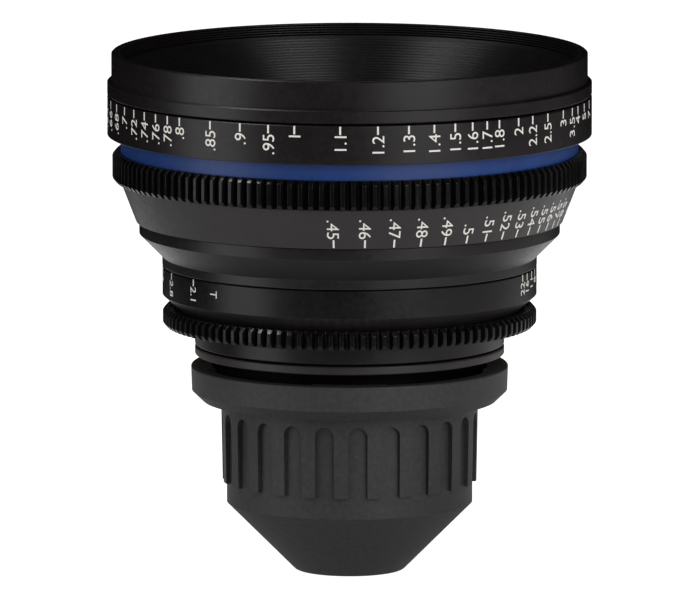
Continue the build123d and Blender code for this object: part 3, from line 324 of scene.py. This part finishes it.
def streaked_across_rings(material, amount):
    """Draws highlights out across the turning rings."""
    tree = material.node_tree
    shader = tree.nodes["Principled BSDF"]
    round_axis = add(tree, "ShaderNodeTangent", direction_type="RADIAL", axis="Z")
    tree.links.new(round_axis.outputs["Tangent"], shader.inputs["Tangent"])
    shader.inputs["Anisotropic"].default_value = amount
    shader.inputs["Anisotropic Rotation"].default_value = quarter_turn


print("rings 0.5 mm apart are wave scale", round(wave_repeat / (0.5 * MM)))

# %% [markdown]
# The rings are turned from aluminium bar, blasted and anodised. The anodic layer is clear and hard over a
# dyed base. It could be made as a metal with a dark tint, but it looks more like a dark plastic: its own
# colour is nearly black, and the eye sees the soft mirror image of lamps and table in it. So metallic stays
# at 0, and the IOR starts from 1.5 and is then matched to each ring. Turning marks of a few hundredths of a
# millimetre are too fine to show, so they are drawn half a millimetre apart.

# %% Anodised aluminium
dye_patch_mm = 6.0
polish_patch_mm = 1.2
polish_spread = 0.04


def anodised_aluminium(name, dark, light, roughness, pitch_mm=0.5, depth_mm=0.002, ior=1.5):
    material, tree, shader = new_material(name)
    colour = patchy_colour(tree, dark, light, dye_patch_mm)
    rough = patches(tree, polish_patch_mm, roughness - polish_spread, roughness + polish_spread)
    bump = rings_bump(tree, pitch_mm, depth_mm)
    tree.links.new(colour, shader.inputs["Base Color"])
    tree.links.new(rough.outputs["Result"], shader.inputs["Roughness"])
    tree.links.new(bump.outputs["Normal"], shader.inputs["Normal"])
    shader.inputs["IOR"].default_value = ior
    print(name, "roughness", roughness, "IOR", ior)
    return material


# Bead blasted before anodising: wide, soft highlights on the large outer rings.
satin_black = anodised_aluminium("black_anodised_aluminium", "#151112", "#1b1617", roughness=0.36)
# A finer blast: the iris ring is darker and a little glossier.
iris_black = anodised_aluminium("black_anodised_aluminium_fine", "#0c090a", "#110e0e", roughness=0.32,
                                ior=1.44)
# A coarser blast scatters more light: the ring above the mount looks charcoal.
ring_grey = anodised_aluminium("bead_blasted_black_aluminium", "#221e1f", "#282324", roughness=0.4)
# Teeth are cut after blasting: deep black flanks with thin, sharp glints.
gear_black = anodised_aluminium("cut_gear_teeth_anodised", "#0c0b0b", "#121111", roughness=0.22,
                                depth_mm=0.0005, ior=1.38)
# A thinner dye: the cone ring is visibly greyer than its neighbours. On the iris taper it is painted light.
cone_grey = anodised_aluminium("grey_black_anodised_aluminium", "#221d1e", "#272223", roughness=0.42)
# The same layer dyed blue: the one coloured ring, as soft in its shine as the black ones.
accent_blue = anodised_aluminium("blue_anodised_aluminium", "#1a3b7a", "#1f4286", roughness=0.4)

# %% [markdown]
# Two blacks are there to give no light back. The collar of the mount and the shim on it are made near black,
# with an IOR so low that they show no highlight: this is painted shade, for the gap above the cap, where the
# real collar lies in shadow. The funnel in front of the glass is cut with fine rings. They are drawn nearly a
# millimetre apart, coarser than the real ones. Their tilted walls turn every lamp into a streak that runs
# down across them. Both are near-blacks on turned metal, so the recipe for anodised aluminium makes them too,
# with other values.

# %% Painted shade black and the ringed baffle
painted_shade_black = anodised_aluminium("near_black_painted_shade", "#020202", "#040404", roughness=0.6,
                                depth_mm=0.0005, ior=1.15)
funnel_black = anodised_aluminium("ringed_black_baffle", "#0f0e0e", "#151414", roughness=0.5,
                                  pitch_mm=0.9, depth_mm=0.02, ior=1.7)
streaked_across_rings(funnel_black, amount=0.85)

# %% [markdown]
# The rear cap is moulded in black nylon. Its tool was spark eroded, which leaves an even grain that breaks
# up every highlight. The grain could be real displacement, but it would need a very dense mesh, and a bump
# gives the same look. Each grain is about a quarter of a millimetre across, too fine to show from here, so
# it is drawn coarser, at the size given. The washers inside are white acetal, which is smoother.

# %% Moulded plastic
patch_per_grain = 1.6


def moulded_plastic(name, dark, light, roughness, grain_mm, depth_mm):
    material, tree, shader = new_material(name)
    colour = patchy_colour(tree, dark, light, patch_per_grain * grain_mm)
    place = add(tree, "ShaderNodeTexCoord")
    grain = add(tree, "ShaderNodeTexNoise",
                {"Vector": place.outputs["Object"], "Scale": 1 / (grain_mm * MM), "Detail": 2.0})
    bump = add(tree, "ShaderNodeBump", {"Height": grain.outputs["Fac"], "Distance": depth_mm * MM})
    tree.links.new(colour, shader.inputs["Base Color"])
    tree.links.new(bump.outputs["Normal"], shader.inputs["Normal"])
    shader.inputs["Roughness"].default_value = roughness
    print(name, "grain", grain_mm, "mm")
    return material


# A strong grain: the cap looks dark grey and dry, with no mirror image anywhere.
cap_plastic = moulded_plastic("moulded_black_plastic", "#292828", "#353334", roughness=0.55,
                              grain_mm=0.7, depth_mm=0.07)
# A faint grain: the washers look waxy.
washer_plastic = moulded_plastic("white_acetal", "#d8d8d2", "#e4e4de", roughness=0.45,
                                 grain_mm=0.4, depth_mm=0.004)

# %% [markdown]
# The mount and the works inside are plain metals. Most are turned or ground about the axis, and screws and
# blades get the same marks, because they are out of sight. A metal could be a grey paint with a high gloss,
# but a real one has no colour under its shine: the base colour tints the mirror image itself. So metallic is
# 1 and the IOR keeps its default. The marks are too fine to show and are drawn 0.4 mm apart, and they draw
# the highlights out across them.

# %% Bare metals
metal_patch_mm = 14.0
metal_streak = 0.6


def bare_metal(name, dark, light, roughness, pitch_mm=0.4, depth_mm=0.001):
    material, tree, shader = new_material(name)
    colour = patchy_colour(tree, dark, light, metal_patch_mm)
    bump = rings_bump(tree, pitch_mm, depth_mm)
    tree.links.new(colour, shader.inputs["Base Color"])
    tree.links.new(bump.outputs["Normal"], shader.inputs["Normal"])
    shader.inputs["Metallic"].default_value = 1.0
    shader.inputs["Roughness"].default_value = roughness
    streaked_across_rings(material, metal_streak)
    print(name, "roughness", roughness)
    return material


# Ground stainless steel: a warm, light grey shine on the lugs of the mount.
stainless = bare_metal("ground_stainless_steel", "#bdbab5", "#c6c3be", roughness=0.3)
# Steel blackened in a hot bath: screws and iris blades with a dull, dark shine.
black_steel = bare_metal("blackened_steel", "#1f1e1e", "#2a2829", roughness=0.38)
# Turned brass: the yellow shine of small parts that rub, such as the cam rollers.
brass = bare_metal("turned_brass", "#c9a75e", "#d8b76c", roughness=0.3)
# Hard anodised without dye, so that the metal shows through: a cool mid grey on guide barrel and cam.
bare_aluminium = bare_metal("hard_anodised_aluminium", "#8f8f92", "#9d9da0", roughness=0.35)

# %% [markdown]
# The elements are polished and coated optical glass. A flat disc could be made see-through by mixing two
# shaders, but these solids have curved faces and thickness, so full transmission bends light as a lens
# does. The IOR is that of a dense crown glass, and a faint cool tint stands for the coating. A very slight
# roughness, in wide patches, is the thin film that gathers on any lens.

# %% Coated glass
film_patch_mm = 30.0
film_roughness = 0.03
crown_glass_ior = 1.62

glass, tree, shader = new_material("coated_optical_glass")
film = patches(tree, film_patch_mm, 0.0, film_roughness)
tree.links.new(film.outputs["Result"], shader.inputs["Roughness"])
shader.inputs["Base Color"].default_value = linear("#eef4f6")
shader.inputs["Transmission Weight"].default_value = 1.0
shader.inputs["IOR"].default_value = crown_glass_ior
print(glass.name, "IOR", crown_glass_ior)

# %% [markdown]
# The figures and lines are engraved and filled with a warm white enamel. It is matt, and a little uneven
# because it is wiped into the cut by hand, so it has patches about as wide as a stroke.

# %% Engraving paint
paint_patch_mm = 0.4
paint_roughness = 0.6

white_paint, tree, shader = new_material("white_engraving_paint")
colour = patchy_colour(tree, "#e4dfd8", "#f2efe9", paint_patch_mm)
tree.links.new(colour, shader.inputs["Base Color"])
shader.inputs["Roughness"].default_value = paint_roughness
print(white_paint.name, "roughness", paint_roughness)

# %% [markdown]
# The imported solids have perfectly sharp edges. On the real lens each edge is broken with a small bevel,
# which catches a thin line of light. The shader can fake that, but the fake lives only in the shader and not
# in the mesh, so each visible solid gets a copy with real bevels. The copy leaves the imported mesh itself
# untouched. A bevel needs clean faces, so bmesh, Blender's tool for editing a mesh in code, first joins the
# copy's triangles into plain faces wherever they lie flat against each other.

# %% Plain faces
same_point = 0.5e-6
flat_angle = math.radians(0.6)


def plain_faces(node, cut_height=None):
    """A copy of a solid's mesh with its triangles joined, and cut at a height in mm if one is given."""
    mesh = nodes[node].data.copy()
    shape = bmesh.new()
    shape.from_mesh(mesh)
    bmesh.ops.remove_doubles(shape, verts=shape.verts, dist=same_point)
    bmesh.ops.dissolve_limit(shape, angle_limit=flat_angle, verts=shape.verts, edges=shape.edges)
    if cut_height is not None:
        bmesh.ops.bisect_plane(shape, geom=[*shape.verts, *shape.edges, *shape.faces],
                               plane_co=(0, 0, cut_height * MM), plane_no=(0, 0, 1))
    for face in shape.faces:
        face.smooth = True
    shape.to_mesh(mesh)
    shape.free()
    mesh.materials.clear()
    return mesh


print("rear_cap has", len(nodes["rear_cap"].data.polygons), "triangles")

# %% [markdown]
# The bevel goes on as a modifier, which cuts every edge that is sharper than 28 degrees and leaves the
# facets of round walls alone. Smooth shading would now tilt the light on the wide faces next to a bevel.
# Weighted normals let the widest face decide, so the wide faces stay true and only the bevel turns.

# %% Edge-softened copies
real_edge_angle = math.radians(28.0)
widest_face_decides = 100


def softened(node, body, slot, material, edge_mm, cut_height=None):
    """A copy of a solid with its edges broken, which stands for it."""
    mesh = plain_faces(node, cut_height)
    mesh.materials.append(material)
    piece = bpy.data.objects.new(node + "_finished", mesh)
    bpy.context.scene.collection.objects.link(piece)
    bevel = piece.modifiers.new("edge_break", "BEVEL")
    bevel.width = edge_mm * MM
    bevel.segments = 2
    bevel.limit_method = "ANGLE"
    bevel.angle_limit = real_edge_angle
    weights = piece.modifiers.new("face_weights", "WEIGHTED_NORMAL")
    weights.weight = widest_face_decides
    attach(piece, body)
    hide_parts(node)
    print(piece.name, len(mesh.vertices), "points")
    return piece


turned_edge, tooth_edge, moulded_edge = 0.08, 0.1, 0.3
outer_rings = [
    ("middle_housing", "barrel", "satin_black", satin_black, turned_edge),
    ("rear_housing", "barrel", "satin_black", iris_black, turned_edge),
    ("mount_ring", "barrel", "satin_black", ring_grey, turned_edge),
    ("focus_scale_ring", "focus_ring", "satin_black", satin_black, turned_edge),
    ("focus_accent_ring", "focus_ring", "accent_blue", accent_blue, turned_edge),
    ("focus_cone_ring", "focus_ring", "dark_grey", cone_grey, turned_edge),
    ("focus_gear_ring", "focus_ring", "gear_black", gear_black, tooth_edge),
    ("iris_gear_ring", "iris_ring", "gear_black", gear_black, tooth_edge),
    ("rear_cap", "rear_cap", "cap_plastic", cap_plastic, moulded_edge),
]
for row in outer_rings:
    softened(*row)

# %% [markdown]
# Three solids carry two materials each. The front ring has the funnel's grooves inside its rim. The mount's
# collar above its bare steel lugs is made near black as painted shade, for the shadow it lies in above the
# cap.
# The taper at the foot of the iris ring gets the lighter grey of the cone ring as painted light, for the
# light that the real taper catches. Splitting the solids would leave seams where the real part has none, so
# their faces are sorted instead, by how far out and how high they are. The mount's faces run past the black's
# edge, so they are cut there first.

# %% Solids with two materials


def second_finish_or_painted_light(piece, material, belongs):
    """Gives another material to the faces that a test picks by their radius and highest point in mm."""
    mesh = piece.data
    mesh.materials.append(material)
    for face in mesh.polygons:
        radius = math.hypot(face.center.x, face.center.y) / MM
        highest = max(mesh.vertices[i].co.z for i in face.vertices) / MM
        face.material_index = int(belongs(radius, highest))
    print(piece.name, sum(face.material_index for face in mesh.polygons), "faces of", material.name)


rim_inside = 53.5
front_ring = softened("front_ring", "barrel", "satin_black", satin_black, turned_edge)
second_finish_or_painted_light(front_ring, funnel_black, lambda radius, highest: radius < rim_inside)

lug_top = 3.3
collar_inside = 30.0
cut_tolerance = 0.01
ground_edge = 0.1
lens_mount = softened("lens_mount", "barrel", "mount_steel", stainless, ground_edge, cut_height=lug_top)
# Painted shade: the collar above the lugs is made near black, for the shadow it lies in above the cap.
second_finish_or_painted_light(lens_mount, painted_shade_black,
              lambda radius, highest: highest > lug_top + cut_tolerance and radius > collar_inside)

iris_low, iris_high = (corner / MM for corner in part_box("iris_scale_ring"))
taper_height = 3.2
taper_inside = 41.0
taper_tolerance = 0.1
iris_ring = softened("iris_scale_ring", "iris_ring", "satin_black", iris_black, turned_edge)
# Painted light: the taper gets the lighter cone grey, for the light that the real taper catches.
second_finish_or_painted_light(iris_ring, cone_grey,
              lambda radius, highest: highest < iris_low.z + taper_height + taper_tolerance
              and radius > taper_inside)

# %% [markdown]
# The solids that stay as they are only need their finish. The imported record already says which finish each
# one has, so the materials are given out by its names, one by one only where a solid differs: the shim under
# the mount's collar gets the same near black as the collar, as painted shade.

# %% Finishes for the solids that stay
finish_for = {
    "matt_black": funnel_black, "barrel_aluminium": bare_aluminium, "mount_steel": stainless,
    "screw_steel": black_steel, "brass": brass, "glass": glass, "blade_black": black_steel,
    "washer_plastic": washer_plastic, "satin_black": satin_black, "gear_black": gear_black,
    "accent_blue": accent_blue, "dark_grey": cone_grey, "cap_plastic": cap_plastic,
}
slot_of = {row["node"]: row["material_slot"] for row in frame["record"]["subparts"]}
for name, item in nodes.items():
    item.data.materials.clear()
    item.data.materials.append(painted_shade_black if name == "flange_shim" else finish_for[slot_of[name]])
print("finishes given to", len(nodes), "solids")

# %% [markdown]
# A dial is engraved by turning the ring under the cutter and then filled with paint. The figures could be a
# picture on the ring, but that goes soft up close, and cutting them into the mesh breaks up its clean faces.
# Here each figure starts as flat text and becomes a thin skin of paint that is wrapped onto the ring. First
# the flat text: it is scaled so that a capital is one unit high, and any thickness will do, because only the
# front and the back are told apart later.

# %% Flat figures
font_cap_share = 0.729
half_thickness = 0.5
points_per_bend = 4


def flat_figure(text):
    """The figure's points and faces. It starts at zero along the line of reading and is one unit high."""
    curve = bpy.data.curves.new("figure", "FONT")
    curve.body = text
    curve.size = 1 / font_cap_share
    curve.extrude = half_thickness
    curve.resolution_u = points_per_bend
    holder = bpy.data.objects.new("figure", curve)
    bpy.context.scene.collection.objects.link(holder)
    bpy.context.view_layer.update()
    mesh = bpy.data.meshes.new_from_object(holder)
    points = [tuple(v.co) for v in mesh.vertices]
    faces = [tuple(p.vertices) for p in mesh.polygons]
    bpy.data.objects.remove(holder)
    bpy.data.curves.remove(curve)
    bpy.data.meshes.remove(mesh)
    start = min(p[0] for p in points)
    return [(p[0] - start, p[1], p[2]) for p in points], faces


print("an 8 is", round(max(p[0] for p in flat_figure("8")[0]), 2), "wide for a height of 1")

# %% [markdown]
# Then the wrapping. The figures here are read along the lens, so the direction of reading runs up or down
# the axis and the height of a figure runs round the ring. The ring's radius may change with height, as it
# does on the cone, so a dial asks for it at every point. The skin stands 0.03 mm proud, enough to keep it
# clear of the ring's facets. Its back lies 0.05 mm under the surface, so that no gap shows from the side.

# %% Wrapped figures and lines
figure_height = 3.0
figure_stretch = 1.02
paint_proud = 0.03
paint_depth = 0.05


class Dial:
    """Figures and lines on one ring, gathered into one mesh. Sizes are in mm and azimuths in degrees."""

    def __init__(self, radius_at):
        self.radius_at = radius_at
        self.points = []
        self.faces = []

    def skin(self, points, faces):
        """Adds points given as azimuth, height and lift above the ring."""
        first = len(self.points)
        for azimuth, height, lift in points:
            self.points.append(around(self.radius_at(height) + lift, azimuth, height))
        self.faces += [tuple(first + i for i in face) for face in faces]

    def line(self, azimuth, low, high, width):
        """A line along the axis from one height to another."""
        half = math.degrees(width / 2 / self.radius_at((low + high) / 2))
        corners = [(azimuth - half, low), (azimuth + half, low),
                   (azimuth + half, high), (azimuth - half, high)]
        points = [(a, z, paint_proud) for a, z in corners] + [(a, z, -paint_depth) for a, z in corners]
        sides = [(i, i + 4, (i + 1) % 4 + 4, (i + 1) % 4) for i in range(4)]
        self.skin(points, [(0, 1, 2, 3), (7, 6, 5, 4)] + sides)

    def figure(self, text, azimuth, height, reads_up, ends_here,
               size=figure_height, stretch=figure_stretch):
        """Text along the axis. It starts at the height, or ends there."""
        flat, faces = flat_figure(text)
        length = max(p[0] for p in flat) * size * stretch
        side = 1 if reads_up else -1
        start = height - side * length if ends_here else height
        points = []
        for x, y, z in flat:
            along = start + side * x * size * stretch
            turn = -side * math.degrees((y - 0.5) * size / self.radius_at(along))
            points.append((azimuth + turn, along, paint_proud if z > 0 else -paint_depth))
        self.skin(points, faces)

    def make(self, name, body, material):
        mesh = bpy.data.meshes.new(name)
        mesh.from_pydata(self.points, [], self.faces)
        mesh.validate()
        mesh.materials.append(material)
        piece = bpy.data.objects.new(name, mesh)
        bpy.context.scene.collection.objects.link(piece)
        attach(piece, body)
        print(name, len(mesh.vertices), "points")


print("paint is", round(paint_proud + paint_depth, 2), "mm thick")

# %% [markdown]
# The focus marks stand close together far away and wide apart close up. Their places could be read off one
# by one, but the lens law gives them all: the focusing travel for a distance is worked out from it, and the
# ring turns by a fixed angle for each millimetre of travel. A real lens isn't thin, so the focal length and
# that angle are the pair that gives the spacing of the real scale, a little off the nominal ones.

# %% Where a distance stands
focal_mm = 51.0
degrees_per_mm = 36.744
infinity_azimuth = 93.83


def travel(distance):
    """How far the lens moves from infinity to focus at a distance in metres, measured from the sensor."""
    d = distance / MM
    return (d - math.sqrt(d * d - 4 * d * focal_mm)) / 2 - focal_mm


def focus_azimuth(distance):
    return infinity_azimuth - travel(distance) * degrees_per_mm


def written(distance):
    """Distances under a metre are written without their zero."""
    text = f"{distance:g}"
    return text[1:] if text.startswith("0.") else text


print("1 m to infinity is", round(infinity_azimuth - focus_azimuth(1)), "degrees")

# %% [markdown]
# The main scale is on the wide ring: a tick under its upper edge for each distance, and the figure under the
# tick. The numbers are plain distances in metres.

# %% Main focus scale
distances = [0.45, 0.46, 0.48, 0.5, 0.52, 0.54, 0.56, 0.58, 0.6, 0.62, 0.64, 0.66, 0.68, 0.7, 0.72, 0.74,
             0.76, 0.78, 0.8, 0.85, 0.9, 0.95, 1, 1.1, 1.2, 1.3, 1.4, 1.5, 1.6, 1.7, 1.8, 2, 2.2, 2.5,
             3, 3.5, 4, 5, 7]
ring_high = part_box("focus_scale_ring")[1] / MM
ring_margin = 0.15
tick_length = 1.95
tick_width = 0.44
figure_gap = 0.3
tick_top = ring_high.z - ring_margin
infinity_sign = "\u221e"

main_dial = Dial(lambda height: ring_high.x)
marks = [(focus_azimuth(distance), written(distance)) for distance in distances]
for azimuth, text in [*marks, (infinity_azimuth, infinity_sign)]:
    main_dial.line(azimuth, tick_top - tick_length, tick_top, tick_width)
    main_dial.figure(text, azimuth, tick_top - tick_length - figure_gap, reads_up=True, ends_here=True)
main_dial.make("focus_scale_figures", "focus_ring", white_paint)

# %% [markdown]
# The second scale is on the cone ring, for an assistant on the other side of the camera, so it sits half a
# turn on and reads the other way. It is marked at more of the close distances. The cone's radius grows
# evenly with height, and the dial follows it.

# %% Second focus scale
close_distances = [0.45, 0.46, 0.47, 0.48, 0.49, 0.5, 0.51, 0.52, 0.53, 0.54, 0.55, 0.56, 0.57, 0.58, 0.6,
                   0.62, 0.64, 0.66, 0.68, 0.7, 0.72, 0.74, 0.76, 0.78, 0.8, 0.85, 0.9, 0.95, 1, 1.1, 1.2,
                   1.3, 1.4, 1.5, 1.6, 1.7, 1.8, 2, 2.2, 2.5, 3, 3.5, 4, 5, 7]
second_scale_shift = 182.8
cone_low, cone_high = (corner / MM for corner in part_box("focus_cone_ring"))
cone_rear_radius = 51.2
cone_margin = 0.35
cone_tick_base = cone_low.z + cone_margin


def cone_radius(height):
    share = (height - cone_low.z) / (cone_high.z - cone_low.z)
    return cone_rear_radius + share * (cone_high.x - cone_rear_radius)


cone_dial = Dial(cone_radius)
for distance in close_distances:
    azimuth = focus_azimuth(distance) + second_scale_shift
    cone_dial.line(azimuth, cone_tick_base, cone_tick_base + tick_length, tick_width)
    cone_dial.figure(written(distance), azimuth, cone_tick_base + tick_length + figure_gap,
                     reads_up=False, ends_here=True)
cone_dial.make("focus_cone_figures", "focus_ring", white_paint)

# %% [markdown]
# The iris ring carries the same T-stops twice, once for each side of the camera, and a T that says what
# they are. Even steps would be the simplest, but at the open end the blades have to move further for each
# stop. The spacing is a mix of a power law, which is wide there, and even steps, with shares that fit the
# ends of the scale that show.

# %% Where a stop stands
stops = [2.1, 2.8, 4, 5.6, 8, 11, 16, 22]
iris_turn = 57.5
opening_power = 1.6
opening_share = 0.57


def stop_angle(stop):
    """How far a stop is from the widest one, in degrees round the ring."""
    opening = (1 - (stops[0] / stop) ** opening_power) / (1 - (stops[0] / stops[-1]) ** opening_power)
    even = math.log(stop / stops[0]) / math.log(stops[-1] / stops[0])
    return iris_turn * (opening_share * opening + (1 - opening_share) * even)


print("stops at", [round(stop_angle(stop), 1) for stop in stops], "degrees")

# %% [markdown]
# Both stop scales run the same way round, because one ring turns under both index lines. Only the figures
# are turned over: those on the left read down and those on the right read up. They are smaller than the
# figures on the focus rings. Each scale is placed by its mark nearest to the camera, which is the widest
# stop on the left and the smallest on the right.

# %% Iris scales
left_widest_stop = -55.9
right_smallest_stop = 66.9
unit_azimuth = -46.0
unit_drop = 2.0
unit_stretch = 0.9
iris_margin = 0.1
iris_tick = 1.65
iris_tick_width = 0.4
iris_figure_gap = 0.15
stop_height = 2.4
iris_tick_top = iris_high.z - iris_margin

iris_dial = Dial(lambda height: iris_high.x)
for stop in stops:
    for azimuth, up in ((left_widest_stop - stop_angle(stop), False),
                        (right_smallest_stop + iris_turn - stop_angle(stop), True)):
        iris_dial.line(azimuth, iris_tick_top - iris_tick, iris_tick_top, iris_tick_width)
        iris_dial.figure(f"{stop:g}", azimuth, iris_tick_top - iris_tick - iris_figure_gap,
                         reads_up=up, ends_here=up, size=stop_height)
iris_dial.figure("T", unit_azimuth, iris_high.z - unit_drop, reads_up=False, ends_here=False,
                 size=stop_height, stretch=unit_stretch)
iris_dial.make("iris_scale_figures", "iris_ring", white_paint)

# %% [markdown]
# Each scale is read against a fixed line on the part next to it. The photograph doesn't show these lines,
# which are at the two sides, so they are plain ones: on the shoulder over the focus ring, and on the band
# of the housing between the two gears. They ride on the barrel and stay put while the rings turn.

# %% Fixed index lines
index_azimuths = (-93.0, 93.0)
index_width = 0.5
shoulder_line_low, shoulder_line_high = 70.25, 73.0
band_line_foot, band_line_head = 2.4, 0.2
shoulder_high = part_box("front_ring")[1] / MM
band_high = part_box("middle_housing")[1] / MM

shoulder_marks = Dial(lambda height: shoulder_high.x)
band_marks = Dial(lambda height: band_high.x)
for azimuth in index_azimuths:
    shoulder_marks.line(azimuth, shoulder_line_low, shoulder_line_high, index_width)
    band_marks.line(azimuth, band_high.z - band_line_foot, band_high.z - band_line_head, index_width)
shoulder_marks.make("front_index_lines", "barrel", white_paint)
band_marks.make("housing_index_lines", "barrel", white_paint)

# %% [markdown]
# The last step measures the dressed model's box and prints how much larger it is than the solids' box. It may
# be larger only by the paint that stands proud on the widest ring.

# %% Finish
dressed_low, dressed_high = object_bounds()
growth = max(*(dressed_high - cad_high), *(cad_low - dressed_low))
print("dressed model is larger by", round(growth / MM, 3), "mm on a side")
